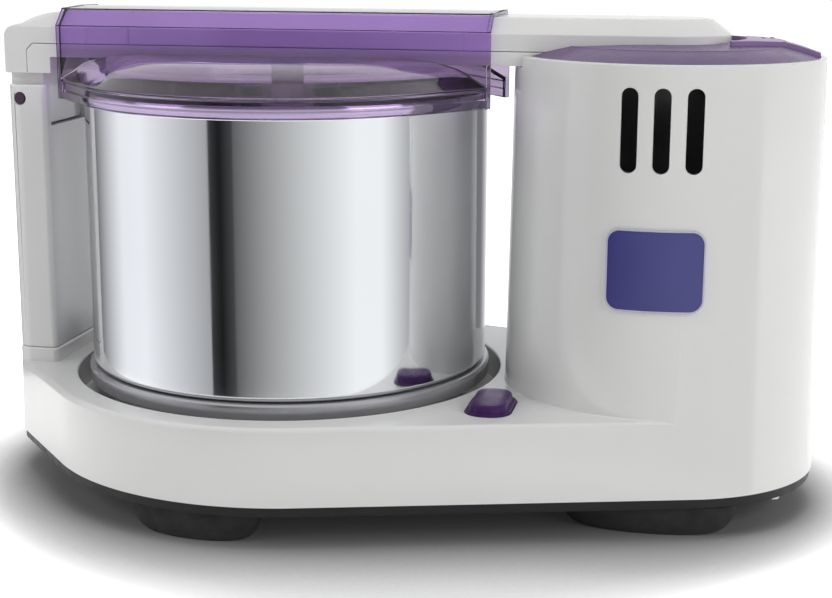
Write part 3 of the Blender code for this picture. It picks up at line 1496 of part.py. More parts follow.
def tower_cap(material):
    cap = cap_dome("tower_cap", 0.0, CAP_LOW_Z, 0.0, material)
    under = cap_dome("cap_under", CAP_WALL, CAP_LOW_Z - OVERRUN, CAP_WALL)
    tray_low = CHANNEL_FLOOR_Z - CAP_WALL
    past_top = ARM_TOP_Z
    tray_grow = CHANNEL_SIDE_GAP + CAP_WALL
    cut(under, arm_plate("cap_tray", ARM_LEFT_X, -tray_grow, tray_low, past_top))
    cut(cap, under)
    cut(cap, arm_plate("cap_channel", ARM_LEFT_X, -CHANNEL_SIDE_GAP, CHANNEL_FLOOR_Z, past_top))
    cut(cap, release_prism("release_hole", 0.0, CAP_LOW_Z - OVERRUN, past_top))
    return cap


def release_button(material):
    button = cap_dome("release_button", 0.0, RELEASE_LOW_Z, 0.0, material)
    low = RELEASE_LOW_Z - OVERRUN
    keep_common(button, release_prism("release_shape", RELEASE_SIDE_GAP, low, ARM_TOP_Z))
    return button


def build():
    clear_scene()
    white = white_plastic()
    purple = purple_plastic()
    steel = turned_steel()
    bright = polished_steel()
    black = black_plastic()
    rubber = black_rubber()
    stone = granite()
    food = food_plastic()
    aluminium = cast_aluminium()
    main_housing(white)
    base_plate(black)
    feet(rubber)
    base_screws(steel)
    badge_plate(badge_blue())
    cord_gland(rubber)
    arm_post(white)
    hinge_pin(dark_purple_plastic())
    shell = arm_shell(white)
    cover = arm_cover(white)
    plunger = pressure_plunger(food)
    spring = plunger_spring(steel)
    lid = drum_lid(clear_purple())
    turning = [drum(bright), drum_base(grey_plastic()), bed_stone(stone), drum_shaft(steel)]
    turning += [spindle(steel), drive_dog(steel), drive_pulley(aluminium)]
    stone_carrier(food)
    batter_scraper(food)
    for side, word in ((-1, "front"), (1, "rear")):
        stone_roller = roller_stone(f"roller_stone_{word}", side, stone)
        roller_axle(f"roller_axle_{word}", side, bright)
        axis_empty(f"roller_{word}_axis", (DRUM_X, 0.0, STONE_BED_Z + STONE_LIFT), [stone_roller])
    bearing_hub(aluminium)
    bearings(steel, rubber)
    drive_belt(rubber)
    rotor = motor_pieces(steel, aluminium, motor_iron(), black)
    motor_bracket(steel)
    run_capacitor(black)
    button = power_button(purple)
    switch_body(black)
    tower_cap(purple)
    release = release_button(purple)
    settle()
    arm_axis = axis_empty("arm_axis", (PIN_X, 0.0, PIN_Z), [shell, cover])
    axis_empty("plunger_axis", (DRUM_X, 0.0, ARM_BOTTOM_Z), [plunger, spring], arm_axis)
    axis_empty("lid_axis", (DRUM_X, 0.0, LID_SKIRT_Z), [lid], arm_axis)
    axis_empty("drum_axis", (DRUM_X, 0.0, DRUM_BOTTOM_Z), turning)
    axis_empty("motor_axis", (TOWER_X, 0.0, BRACKET_TOP_Z), rotor)
    axis_empty("power_button_axis", (BUTTON_X, BUTTON_Y, DECK_Z), [button])
    axis_empty("release_button_axis", (ARM_NOSE_X, 0.0, CAP_EDGE_Z), [release])


build()
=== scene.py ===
import math

import bmesh
import bpy
from mathutils import Matrix, Vector
from mathutils.bvhtree import BVHTree

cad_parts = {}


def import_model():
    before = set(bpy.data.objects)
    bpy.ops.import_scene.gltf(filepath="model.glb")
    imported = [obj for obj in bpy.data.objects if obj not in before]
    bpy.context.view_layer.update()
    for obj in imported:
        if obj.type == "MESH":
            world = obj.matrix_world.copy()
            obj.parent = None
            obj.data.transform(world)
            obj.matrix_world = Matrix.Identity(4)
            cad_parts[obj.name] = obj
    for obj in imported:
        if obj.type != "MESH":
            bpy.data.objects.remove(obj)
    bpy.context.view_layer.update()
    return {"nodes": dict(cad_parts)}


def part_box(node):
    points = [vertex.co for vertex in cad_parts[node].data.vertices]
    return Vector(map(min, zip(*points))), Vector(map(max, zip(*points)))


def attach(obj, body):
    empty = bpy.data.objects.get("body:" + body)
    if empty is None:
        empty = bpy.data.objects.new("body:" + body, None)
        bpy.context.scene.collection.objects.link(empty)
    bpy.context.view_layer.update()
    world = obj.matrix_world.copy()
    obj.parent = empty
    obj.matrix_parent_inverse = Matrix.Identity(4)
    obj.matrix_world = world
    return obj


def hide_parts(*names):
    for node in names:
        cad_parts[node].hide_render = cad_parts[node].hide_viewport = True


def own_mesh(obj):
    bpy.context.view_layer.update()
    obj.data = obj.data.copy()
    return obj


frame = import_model()

# Fits and steps
GAP = 0.0003
RUNNING_GAP = 0.0006
OVERRUN = 0.003
ROUND_STEPS = 192
OUTLINE_STEPS = 288
CORNER_STEPS = 48
SMALL_STEPS = 40
EDGE_STEPS = 8
SCREW_STEPS = 24
SMOOTH_ANGLE = math.radians(32)
WELD_REACH = 0.000002

# Base casing
WALL = 0.0028
DRAFT_SHARE = 0.017
BASE_BOTTOM_Z = 0.0218
DECK_Z = 0.063
DECK_EDGE_R = 0.0028
BASE_ROUND_R = 0.137
NOSE_X = -0.225
NOSE_FLAT_HALF = 0.021
NOSE_CORNER_R = 0.020
DRUM_X = -0.0695

# Motor tower
TOWER_X = 0.1402
TOWER_HALF_X = 0.0848
TOWER_HALF_Y = 0.079
TOWER_TOP_Z = 0.242
TOWER_FOOT_RISE = 0.001
TOWER_PROUD = 0.00015
TOWER_FILLET = 0.0012
RIM_EDGE_R = 0.0010

# Vents in the tower front
VENT_COUNT = 3
VENT_PITCH = 0.0161
VENT_MID_X = 0.1421
VENT_HALF_WIDTH = 0.0042
VENT_LOW_Z = 0.1885
VENT_HIGH_Z = 0.2307

# Bare badge plate
BADGE_MID_X = 0.141
BADGE_HALF_WIDTH = 0.0248
BADGE_LOW_Z = 0.119
BADGE_HIGH_Z = 0.161
BADGE_CORNER_R = 0.007
BADGE_THICKNESS = 0.0012
BADGE_FACE = 0.0009
BADGE_RIM = 0.0009

# Well under the drum
WELL_R = 0.1204
WELL_FLOOR_Z = 0.045
WELL_EDGE_R = 0.0012

# Base plate and feet
PLATE_INSET = 0.0010
PLATE_BOTTOM_Z = 0.0163
PLATE_THICKNESS = 0.003
PLATE_RIM = 0.003
PLATE_EDGE_R = 0.001
PLATE_VENT_COUNT = 5
PLATE_VENT_PITCH = 0.014
PLATE_VENT_HALF_WIDTH = 0.003
PLATE_VENT_HALF_LENGTH = 0.024
FOOT_HALF_WIDTH = 0.015
FOOT_TOE_SHARE = 0.72
LEFT_FOOT_HALF_LENGTH = 0.037
LEFT_FOOT_RING_R = 0.1185
LEFT_FOOT_ANGLE = 99.0
RIGHT_FOOT_HALF_LENGTH = 0.046
RIGHT_FOOT_Y = 0.060
SCREW_R = 0.0015
SCREW_LENGTH = 0.015
PILLAR_R = 0.005
PILLAR_RING_R = 0.108
PILLAR_ANGLES = (74.0, 150.0, -150.0, -74.0)
PILLAR_WALL_BITE = 0.0035
TOWER_PILLAR_ANGLES = (35.0, -35.0)
TOWER_PILLAR_TOP_Z = 0.047
HUB_R = 0.017

# Arm post and hinge
POST_HALF_Y = 0.032
POST_OUTER_X = -0.2242
POST_INNER_X = -0.1998
POST_CORNER_R = 0.003
POST_OUTER_CORNER_R = 0.010
POST_TOP_Z = 0.221
POST_TOP_EDGE = 0.0012
POST_WALL = 0.0026
POST_HOLLOW_TOP_Z = 0.188
PEDESTAL_RISE = 0.008
PEDESTAL_MARGIN = 0.0010
PEDESTAL_EDGE_R = 0.0015
PIN_X = -0.2152
PIN_Z = 0.2134
PIN_R = 0.0032
PIN_PROUD = 0.0004
PIN_END = ((0.0, 0.0006), (0.0002, 0.0002), (0.0006, 0.0))
TONGUE_HALF_Y = 0.025
TONGUE_RIGHT_X = -0.2037
TONGUE_TOE_X = -0.2114
TONGUE_LOW_Z = 0.1984
TONGUE_HEEL_R = 0.0075
SLOT_BACK_X = -0.2162
SLOT_SILL_Z = 0.2047

# Swing arm
ARM_HALF_Y = 0.031
ARM_LEFT_X = -0.2247
ARM_NOSE_X = 0.1723
ARM_LEFT_CORNER_R = 0.004
ARM_BOTTOM_Z = 0.2365
ARM_SEAM_Z = 0.244
ARM_CREASE_Z = 0.253
ARM_BEVEL_TOP_Z = 0.2604
ARM_TOP_Z = 0.261
ARM_BEVEL = 0.0095
ARM_CROWN_INSET = 0.0125
ARM_CORNER_WIDTH = 0.034
ARM_WALL = 0.0026
ARM_JOIN_X = -0.150
ARM_END_LEVELS = ((0.031, 0.0024, 0.0080, 0.0035, 0.0035), (0.0298, 0.0009, 0.00707, 0.0080, 0.0060),
                  (0.028, 0.0002, 0.00566, 0.0170, 0.0105), (0.025, 0.0, 0.00333, 0.0270, 0.0145),
                  (0.0215, 0.0, 0.0006, 0.0335, 0.0175), (0.0185, 0.0, 0.0, 0.0340, 0.0180))
LEG_BOTTOM_Z = 0.2275
LEG_SEAM_X = -0.2105
LEG_SEAM_CHAMFER = 0.0035
LEG_INNER_X = -0.1965

# Pressure plunger in the arm, and its coil spring
PLUNGER_R = 0.009
SPRING_R = 0.009
SPRING_WIRE = 0.0018
SPRING_TURNS = 5
SPRING_FLAT = 0.8
SPRING_STEPS = 24
SPRING_SIDES = 10

# Lid with its hood over the arm
LID_R = 0.1145
LID_WALL = 0.0016
LID_SKIRT_Z = 0.214
LID_EDGE_Z = 0.2255
LID_TOP_Z = 0.2395
LID_CORNER_R = 0.0025
LID_BEAD = 0.0007
LID_BAND = 0.0052
RIB_X = (-0.1751, 0.0342)
RIB_R = 0.0010
RIB_STEPS = 16
HOOD_BEAD_WIDTH = 0.0020
HOOD_BEAD = 0.0006
RIB_LOW_Z = 0.2405
LID_DOME_SHARES = ((0.71, 0.0), (0.80, 0.11), (0.90, 0.40), (0.95, 0.71), (1.0, 1.0))
HOOD_LEFT_X = -0.1915
HOOD_RIGHT_X = 0.0499
HOOD_WALL = 0.0016
HOOD_SIDE_GAP = 0.0004
HOOD_CROWN = 0.0006

# Drum
DRUM_R = 0.1114
DRUM_WALL = 0.001
DRUM_BOTTOM_Z = 0.069
DRUM_RIM_Z = 0.2205
DRUM_BEAD_R = 0.1124
DRUM_BEAD_HEIGHT = 0.007
DRUM_FOOT_R = 0.003
DRUM_BASE_R = 0.1138
DRUM_BASE_LOW_Z = 0.0595
DRUM_BASE_RIM = 0.004
DRUM_BASE_PLATE = 0.003
SOCKET_R = 0.022
SOCKET_LOW_Z = 0.0595
DOG_R = 0.014
DOG_SIDES = 6

# Stones and what carries them
BED_STONE_R = 0.1045
BED_STONE_HEIGHT = 0.016
BED_STONE_BORE_R = 0.012
STONE_TILT = 22.0
STONE_INNER = 0.038
STONE_OUTER = 0.097
STONE_EDGE = 0.002
STONE_LIFT = 0.0004
AXLE_R = 0.0045
AXLE_INNER = 0.022
AXLE_OUTER = 0.1015
AXLE_CAP_R = 0.009
AXLE_CAP_THICKNESS = 0.003
DRUM_SHAFT_R = 0.009
DRUM_SHAFT_TOP_Z = 0.2044
DRUM_SHAFT_FOOT_R = 0.0112
DRUM_SHAFT_FOOT_HEIGHT = 0.006
CARRIER_R = 0.014
CARRIER_TOP_Z = 0.2127
CARRIER_LOW_RISE = 0.0010
CARRIER_COLLAR_R = 0.020
CARRIER_COLLAR_HEIGHT = 0.026
BOSS_R = 0.007
BOSS_INNER = 0.021
BOSS_OUTER = 0.0355

# Power button
BUTTON_X = 0.0585
BUTTON_Y = -0.0695
BUTTON_HALF_X = 0.0118
BUTTON_HALF_Y = 0.0205
BUTTON_CORNER_R = 0.0105
BUTTON_PROUD = 0.0055
BUTTON_LIP_RISE = 0.0012
BUTTON_LIP = 0.0018
BUTTON_DEPTH = 0.0045
BUTTON_EDGE_R = 0.0012
BUTTON_CROWN = 0.0003

# Tower cap and release button
CAP_LOW_Z = 0.2322
CAP_EDGE_Z = 0.2416
CAP_RISE = 0.0084
CAP_WALL = 0.0026
CAP_DOME_SHARES = ((0.0, 0.0), (0.13, 0.36), (0.25, 0.63), (0.265, 0.685), (0.28, 0.70), (0.30, 0.69),
                   (0.40, 0.73), (0.67, 0.90), (0.93, 1.0))
CHANNEL_SIDE_GAP = 0.0006
RELEASE_INNER_R = 0.0385
RELEASE_HALF_ANGLE = 39.0
RELEASE_OUTER_START = -1.0
RELEASE_OUTER_END = 54.0
RELEASE_RISE = 0.0024
RELEASE_SEAM = ((0.1730, -0.0252), (0.1775, -0.0220), (0.1850, -0.0150), (0.1920, -0.0102),
                (0.2000, -0.0068), (0.2120, -0.0046), (0.2240, -0.0030))
DOT_SPOTS = ((0.1884, 0.0190), (0.1932, 0.0250), (0.1984, 0.0330), (0.2034, 0.0400))
DOT_R = 0.0013
DOT_RISE = 0.0003
RELEASE_SIDE_GAP = 0.0004
RELEASE_LOW_Z = 0.2335

# Cord gland
GLAND_ANGLE = 55.0
GLAND_SAG = 0.0009
GLAND_Z = 0.043
GLAND_HOLE_R = 0.0065
GLAND_FLANGE_R = 0.0095
GLAND_FLANGE_THICKNESS = 0.002
GLAND_TAIL_R = 0.0052
GLAND_TAIL_LENGTH = 0.012
GLAND_BORE_R = 0.0032
GLAND_RIBS = 4
GLAND_GROOVE = 0.0008

PLATE_TOP_Z = PLATE_BOTTOM_Z + PLATE_THICKNESS
CHANNEL_FLOOR_Z = ARM_BOTTOM_Z - RUNNING_GAP
STONE_BED_Z = DRUM_BOTTOM_Z + DRUM_WALL + GAP + BED_STONE_HEIGHT
DRUM_AXIS = (DRUM_X, 0.0, 0.0)

# Materials
NOISE_RANGE = (0.3, 0.7)
GLOSS_SCALE = 2.7
LEAST_ROUGHNESS = 0.02
COAT_ROUGHNESS = 0.08
RELIEF_DEPTH = 0.0003
CLEAR_IOR = 1.45
GRAIN_SCALE = 620.0
GRAIN_TONES = ((0.0, (0.03, 0.03, 0.03)), (0.22, (0.09, 0.09, 0.09)), (0.5, (0.17, 0.165, 0.16)),
               (0.75, (0.27, 0.26, 0.25)), (0.93, (0.42, 0.41, 0.39)))
GRANITE_GROUND = (0.15, 0.145, 0.14)
# Lid tint by height from skirt to arm crease: the darker, greyer stops at the skirt and dome are painted
# shade, the top stop is the plastic's own tint.
LID_TINTS_AND_PAINTED_SHADE = ((0.0, (0.34, 0.27, 0.40)), (0.24, (0.34, 0.27, 0.40)), (0.34, (0.46, 0.38, 0.51)),
             (0.68, (0.46, 0.38, 0.51)), (0.80, (0.62, 0.46, 0.80)))


# Node tools

class Tree:
    """Adds and joins nodes in a node tree."""

    def __init__(self, tree):
        self.tree = tree

    def add(self, kind, inputs=None, **settings):
        node = self.tree.nodes.new(kind)
        for key, value in settings.items():
            setattr(node, key, value)
        for key, value in (inputs or {}).items():
            node.inputs[key].default_value = value
        return node

    def link(self, source, target):
        self.tree.links.new(source, target)

    def place(self):
        return self.add("ShaderNodeTexCoord").outputs["Object"]

    def noise(self, vector, scale, detail):
        node = self.add("ShaderNodeTexNoise", {"Scale": scale, "Detail": detail})
        self.link(vector, node.inputs["Vector"])
        return node.outputs["Fac"]

    def spread(self, value, low, high, start=(0.0, 1.0)):
        inputs = {"From Min": start[0], "From Max": start[1], "To Min": low, "To Max": high}
        node = self.add("ShaderNodeMapRange", inputs)
        self.link(value, node.inputs["Value"])
        return node.outputs["Result"]

    def relief(self, height, strength, depth, shader):
        node = self.add("ShaderNodeBump", {"Strength": strength, "Distance": depth})
        self.link(height, node.inputs["Height"])
        self.link(node.outputs["Normal"], shader.inputs["Normal"])

    def surface(self, output):
        self.link(output, self.tree.nodes["Material Output"].inputs["Surface"])

    def math(self, operation, first, second=None):
        node = self.add("ShaderNodeMath", operation=operation)
        for number, value in enumerate((first, second)):
            if value is None:
                continue
            if isinstance(value, float):
                node.inputs[number].default_value = value
            else:
                self.link(value, node.inputs[number])
        return node.outputs["Value"]

    def mix(self, share, first, second):
        node = self.add("ShaderNodeMix", data_type="RGBA")
        self.link(share, node.inputs["Factor"])
        for name, value in (("A", first), ("B", second)):
            spot = [s for s in node.inputs if s.name == name and s.type == "RGBA"][0]
            if isinstance(value, tuple):
                spot.default_value = (*value, 1.0)
            else:
                self.link(value, spot)
        return [s for s in node.outputs if s.type == "RGBA"][0]

    def ramp(self, value, stops, easing="LINEAR"):
        node = self.add("ShaderNodeValToRGB")
        node.color_ramp.interpolation = easing
        elements = node.color_ramp.elements
        while len(elements) < len(stops):
            elements.new(0.5)
        for element, (place, color) in zip(elements, stops):
            element.position = place
            element.color = (*color, 1.0)
        self.link(value, node.inputs["Fac"])
        return node.outputs["Color"]


def times(color, factor):
    return tuple(min(1.0, part * factor) for part in color)


def grey(level):
    return (level, level, level)


def new_material(name):
    """A node material with its node tree and its Principled shader."""
    material = bpy.data.materials.new(name)
    material.use_nodes = True
    return material, Tree(material.node_tree), material.node_tree.nodes["Principled BSDF"]


def finish(name, color, roughness, metallic=0.0, tone=0.03, tone_scale=40.0, rough_spread=0.05,
           bump=0.05, bump_scale=700.0, stretch=None, coat=0.0, specular=0.5):
    """A Principled material with uneven tone, uneven gloss and a fine surface."""
    material, tree, shader = new_material(name)
    place = tree.place()
    if stretch:
        mapping = tree.add("ShaderNodeMapping", {"Scale": stretch})
        tree.link(place, mapping.inputs["Vector"])
        place = mapping.outputs["Vector"]
    spread = tree.spread(tree.noise(place, tone_scale, 4.0), 0.0, 1.0, NOISE_RANGE)
    tree.link(tree.mix(spread, times(color, 1 - tone), times(color, 1 + tone)), shader.inputs["Base Color"])
    gloss = tree.noise(place, tone_scale * GLOSS_SCALE, 5.0)
    low, high = max(LEAST_ROUGHNESS, roughness - rough_spread), roughness + rough_spread
    tree.link(tree.spread(gloss, low, high, NOISE_RANGE), shader.inputs["Roughness"])
    tree.relief(tree.noise(place, bump_scale, 2.0), bump, RELIEF_DEPTH, shader)
    shader.inputs["Metallic"].default_value = metallic
    shader.inputs["Coat Weight"].default_value = coat
    shader.inputs["Coat Roughness"].default_value = COAT_ROUGHNESS
    shader.inputs["Specular IOR Level"].default_value = specular
    return material


def granite_finish():
    """Dressed granite: grey ground with pale, dark and brownish grains and small pits."""
    material, tree, shader = new_material("granite")
    place = tree.place()
    grains = tree.add("ShaderNodeTexVoronoi", {"Scale": GRAIN_SCALE})
    tree.link(place, grains.inputs["Vector"])
    parts = tree.add("ShaderNodeSeparateColor")
    tree.link(grains.outputs["Color"], parts.inputs["Color"])
    speckle = tree.ramp(parts.outputs["Red"], GRAIN_TONES, "CONSTANT")
    share = tree.spread(tree.noise(place, 70.0, 4.0), 0.15, 0.5, NOISE_RANGE)
    tree.link(tree.mix(share, speckle, GRANITE_GROUND), shader.inputs["Base Color"])
    pits = tree.noise(place, 900.0, 4.0)
    tree.link(tree.spread(pits, 0.55, 0.85), shader.inputs["Roughness"])
    tree.relief(pits, 0.35, 0.0005, shader)
    return material


def clear_finish(name, tints_and_shade, roughness):
    """Tinted clear plastic that lets the lamps' light through, its tint changing with height: darker and
    greyer lower down, as painted shade.
    """
    material, tree, shader = new_material(name)
    place = tree.place()
    spread = tree.spread(tree.noise(place, 25.0, 3.0), 0.0, 1.0, NOISE_RANGE)
    parts = tree.add("ShaderNodeSeparateXYZ")
    tree.link(place, parts.inputs["Vector"])
    height = tree.spread(parts.outputs["Z"], 0.0, 1.0, (LID_SKIRT_Z, ARM_CREASE_Z))
    # Darker and greyer at the skirt and dome: painted shade.
    low = tree.ramp(height, [(share, times(tint, 0.97)) for share, tint in tints_and_shade])
    high = tree.ramp(height, [(share, times(tint, 1.03)) for share, tint in tints_and_shade])
    tree.link(tree.mix(spread, low, high), shader.inputs["Base Color"])
    gloss = tree.noise(place, 160.0, 4.0)
    tree.link(tree.spread(gloss, roughness, roughness + 0.03), shader.inputs["Roughness"])
    tree.relief(tree.noise(place, 90.0, 2.0), 0.02, RELIEF_DEPTH, shader)
    shader.inputs["Transmission Weight"].default_value = 1.0
    shader.inputs["IOR"].default_value = CLEAR_IOR
    window_tint = [math.sqrt(part) for part in tints_and_shade[-1][1]]
    window = tree.add("ShaderNodeBsdfTransparent", {"Color": (*window_tint, 1.0)})
    blend = tree.add("ShaderNodeMixShader")
    tree.link(seen_share(tree, "Is Shadow Ray", "Is Diffuse Ray"), blend.inputs["Fac"])
    tree.link(shader.outputs["BSDF"], blend.inputs[1])
    tree.link(window.outputs["BSDF"], blend.inputs[2])
    tree.surface(blend.outputs["Shader"])
    return material


# Mesh tools

def solid(name, points, faces, material=None):
    """An object from points and faces, its faces turned outwards."""
    mesh = bpy.data.meshes.new(name)
    mesh.from_pydata([tuple(p) for p in points], [], faces)
    shell = bmesh.new()
    shell.from_mesh(mesh)
    bmesh.ops.recalc_face_normals(shell, faces=shell.faces)
    shell.to_mesh(mesh)
    shell.free()
    thing = bpy.data.objects.new(name, mesh)
    if material:
        mesh.materials.append(material)
    bpy.context.scene.collection.objects.link(thing)
    return thing


def loft(name, rings, material=None, closed=False):
    """A solid through rings of equally many points, capped at both ends or closed on itself."""
    count = len(rings[0])
    points = [p for each in rings for p in each]
    faces = []
    spans = len(rings) if closed else len(rings) - 1
    for level in range(spans):
        low = level * count
        high = (level + 1) % len(rings) * count
        for k in range(count):
            after = (k + 1) % count
            faces.append((low + k, low + after, high + after, high + k))
    if not closed:
        faces.append(tuple(range(count)))
        faces.append(tuple(range(len(points) - count, len(points))))
    return solid(name, points, faces, material)


def turned(name, profile, material=None, steps=ROUND_STEPS, at=(0.0, 0.0, 0.0)):
    """A solid turned about +Z from a closed outline of (radius, height) points."""
    rings = []
    for radius, height in profile:
        if radius == 0:
            continue
        turn = []
        for k in range(steps):
            angle = 2 * math.pi * k / steps
            turn.append((at[0] + radius * math.cos(angle), at[1] + radius * math.sin(angle), at[2] + height))
        rings.append(turn)
    return loft(name, rings, material, closed=profile[0][0] > 0)


def rod(name, radius, low, high, steps=SMALL_STEPS, at=(0.0, 0.0, 0.0)):
    """A plain round bar along +Z, to be joined to a piece or cut from it."""
    return turned(name, [(0.0, low), (radius, low), (radius, high), (0.0, high)], None, steps, at)


def softened(profile, radius, steps=3):
    """The outline with each corner of it off the axis rounded by up to a radius."""
    count = len(profile)
    whole = profile[0][0] > 0
    result = []
    for k, spot in enumerate(profile):
        if not whole and k in (0, count - 1):
            result.append(spot)
            continue
        here = Vector(spot)
        before = Vector(profile[k - 1]) - here
        after = Vector(profile[(k + 1) % count]) - here
        reach = min(radius, before.length * 0.45, after.length * 0.45)
        start = here + before.normalized() * reach
        end = here + after.normalized() * reach
        for step in range(steps + 1):
            t = step / steps
            result.append(tuple((1 - t) ** 2 * start + 2 * t * (1 - t) * here + t * t * end))
    return result


def support_outline(rounds, steps):
    """Points and outward normals of the tight outline round circles and ellipses."""
    outline = []
    for k in range(steps):
        angle = 2 * math.pi * (k + 0.5) / steps
        normal = Vector((math.cos(angle), math.sin(angle)))
        best = None
        for x, y, half_x, half_y in rounds:
            reach = Vector((half_x * normal.x, half_y * normal.y)).length
            spot = Vector((x + half_x ** 2 * normal.x / reach, y + half_y ** 2 * normal.y / reach))
            if best is None or spot.dot(normal) > best.dot(normal):
                best = spot
        outline.append((best, normal))
    return outline


def ring(outline, inset, height):
    return [(p.x - inset * n.x, p.y - inset * n.y, height) for p, n in outline]


def plate(name, outline, low, high, inset=0.0, material=None):
    return loft(name, [ring(outline, inset, low), ring(outline, inset, high)], material)


def block(name, low, high, material=None):
    corners = [(low[0], low[1]), (high[0], low[1]), (high[0], high[1]), (low[0], high[1])]
    return loft(name, [[(x, y, z) for x, y in corners] for z in (low[2], high[2])], material)


def side_slab(name, outline_xz, half_y, material=None):
    return loft(name, [[(x, y, z) for x, z in outline_xz] for y in (-half_y, half_y)], material)


def pin_along_y(name, x, z, stations, material=None, steps=SMALL_STEPS):
    """A round bar along Y through (y, radius) stations."""
    rings = []
    for y, radius in stations:
        spots = []
        for k in range(steps):
            angle = 2 * math.pi * k / steps
            spots.append((x + radius * math.cos(angle), y, z + radius * math.sin(angle)))
        rings.append(spots)
    return loft(name, rings, material)


def boolean(target, tools, operation):
    """Applies each tool to the target's mesh at once and removes the tool."""
    for tool in tools:
        modifier = target.modifiers.new(operation.title(), "BOOLEAN")
        modifier.operation = operation
        modifier.solver = "EXACT"
        modifier.object = tool
    bpy.context.view_layer.update()
    graph = bpy.context.evaluated_depsgraph_get()
    mesh = bpy.data.meshes.new_from_object(target.evaluated_get(graph))
    target.modifiers.clear()
    target.data = mesh
    for tool in tools:
        bpy.data.objects.remove(tool)
    return target


def cut(target, *tools):
    return boolean(target, tools, "DIFFERENCE")


def join(target, *tools):
    return boolean(target, tools, "UNION")


def keep_common(target, *tools):
    return boolean(target, tools, "INTERSECT")


def rounded(thing, width=0.0004, segments=2, angle=38.0):
    """Small rounds on a piece's sharp edges, and shading that keeps its flats flat."""
    thing.data.shade_smooth()
    if width:
        edge = thing.modifiers.new("Edges", "BEVEL")
        edge.width = width
        edge.segments = segments
        edge.limit_method = "ANGLE"
        edge.angle_limit = math.radians(angle)
        edge.use_clamp_overlap = False
        edge.harden_normals = False
        edge.miter_outer = "MITER_ARC"
    even = thing.modifiers.new("Flats", "WEIGHTED_NORMAL")
    even.keep_sharp = True
    even.weight = 60
    if not width:
        thing.data.set_sharp_from_angle(angle=SMOOTH_ANGLE)
    return thing


def dressed(thing, body, slot, *nodes):
    """Puts a finished piece on its body in place of the CAD nodes it stands for."""
    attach(thing, body)
    if nodes:
        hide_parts(*nodes)
    return thing


def smoothed_group():
    """Joins the split corners of a carried-over node and shades its round faces smooth."""
    group = bpy.data.node_groups.new("smooth_rounds", "GeometryNodeTree")
    group.interface.new_socket("Geometry", in_out="INPUT", socket_type="NodeSocketGeometry")
    group.interface.new_socket("Geometry", in_out="OUTPUT", socket_type="NodeSocketGeometry")
    tree = Tree(group)
    start = tree.add("NodeGroupInput")
    end = tree.add("NodeGroupOutput")
    weld = tree.add("GeometryNodeMergeByDistance", {"Distance": WELD_REACH})
    strip = tree.add("GeometryNodeRemoveAttribute", {"Name": "custom_normal"})
    angle = tree.add("GeometryNodeInputMeshEdgeAngle")
    sharp = tree.add("FunctionNodeCompare", {"B": SMOOTH_ANGLE}, data_type="FLOAT", operation="LESS_EQUAL")
    edges = tree.add("GeometryNodeSetShadeSmooth", domain="EDGE")
    faces = tree.add("GeometryNodeSetShadeSmooth", domain="FACE")
    chain = (start, weld, strip, edges, faces, end)
    for before, after in zip(chain, chain[1:]):
        tree.link(before.outputs["Geometry"], after.inputs["Geometry"])
    tree.link(angle.outputs["Unsigned Angle"], sharp.inputs["A"])
    tree.link(sharp.outputs["Result"], edges.inputs["Shade Smooth"])
    return group


# Outlines in plan

def draft(height):
    return DRAFT_SHARE * (height - BASE_BOTTOM_Z)


def base_outline():
    nose = NOSE_X + NOSE_CORNER_R
    rounds = [(DRUM_X, 0.0, BASE_ROUND_R, BASE_ROUND_R), (TOWER_X, 0.0, TOWER_HALF_X, TOWER_HALF_Y),
              (nose, NOSE_FLAT_HALF, NOSE_CORNER_R, NOSE_CORNER_R),
              (nose, -NOSE_FLAT_HALF, NOSE_CORNER_R, NOSE_CORNER_R)]
    return support_outline(rounds, OUTLINE_STEPS)


def post_outline(margin):
    """The post in plan, with soft outer corners, grown by margin except on its outer side."""
    rounds = []
    for side_y in (-1, 1):
        outer_y = side_y * (POST_HALF_Y + margin - POST_OUTER_CORNER_R)
        inner_y = side_y * (POST_HALF_Y + margin - POST_CORNER_R)
        rounds.append((POST_OUTER_X + POST_OUTER_CORNER_R, outer_y, POST_OUTER_CORNER_R, POST_OUTER_CORNER_R))
        rounds.append((POST_INNER_X + margin - POST_CORNER_R, inner_y, POST_CORNER_R, POST_CORNER_R))
    return support_outline(rounds, 2 * CORNER_STEPS)


def tower_outline():
    return support_outline([(TOWER_X, 0.0, TOWER_HALF_X, TOWER_HALF_Y)], ROUND_STEPS)


def rounded_box_outline(x, y, half_x, half_y, corner_r, steps=CORNER_STEPS):
    rounds = []
    for side_x in (-1, 1):
        for side_y in (-1, 1):
            corner_x = x + side_x * (half_x - corner_r)
            corner_y = y + side_y * (half_y - corner_r)
            rounds.append((corner_x, corner_y, corner_r, corner_r))
    return support_outline(rounds, steps)


def arm_ring(left, inset, height):
    """The arm's outline in plan: square at the hinge, round at the nose."""
    nose_r = ARM_HALF_Y - inset
    corner = ARM_LEFT_CORNER_R
    corner_x = left + inset + corner
    corner_y = nose_r - corner
    rounds = [(ARM_NOSE_X - ARM_HALF_Y, 0.0, nose_r, nose_r), (corner_x, corner_y, corner, corner),
              (corner_x, -corner_y, corner, corner)]
    return ring(support_outline(rounds, 2 * CORNER_STEPS), 0.0, height)


def arm_plate(name, left, inset, low, high, material=None):
    return loft(name, [arm_ring(left, inset, low), arm_ring(left, inset, high)], material)


def base_pillar_spots():
    spots = []
    for degrees in PILLAR_ANGLES:
        angle = math.radians(degrees)
        spots.append((DRUM_X + PILLAR_RING_R * math.cos(angle), PILLAR_RING_R * math.sin(angle)))
    inset = WALL + PILLAR_WALL_BITE
    for degrees in TOWER_PILLAR_ANGLES:
        angle = math.radians(degrees)
        half_x = TOWER_HALF_X - inset
        half_y = TOWER_HALF_Y - inset
        spots.append((TOWER_X + half_x * math.cos(angle), half_y * math.sin(angle)))
    return spots


# Casing

def quarter(steps=EDGE_STEPS):
    """Angles from nought to a right angle."""
    return [math.pi / 2 * step / steps for step in range(steps + 1)]


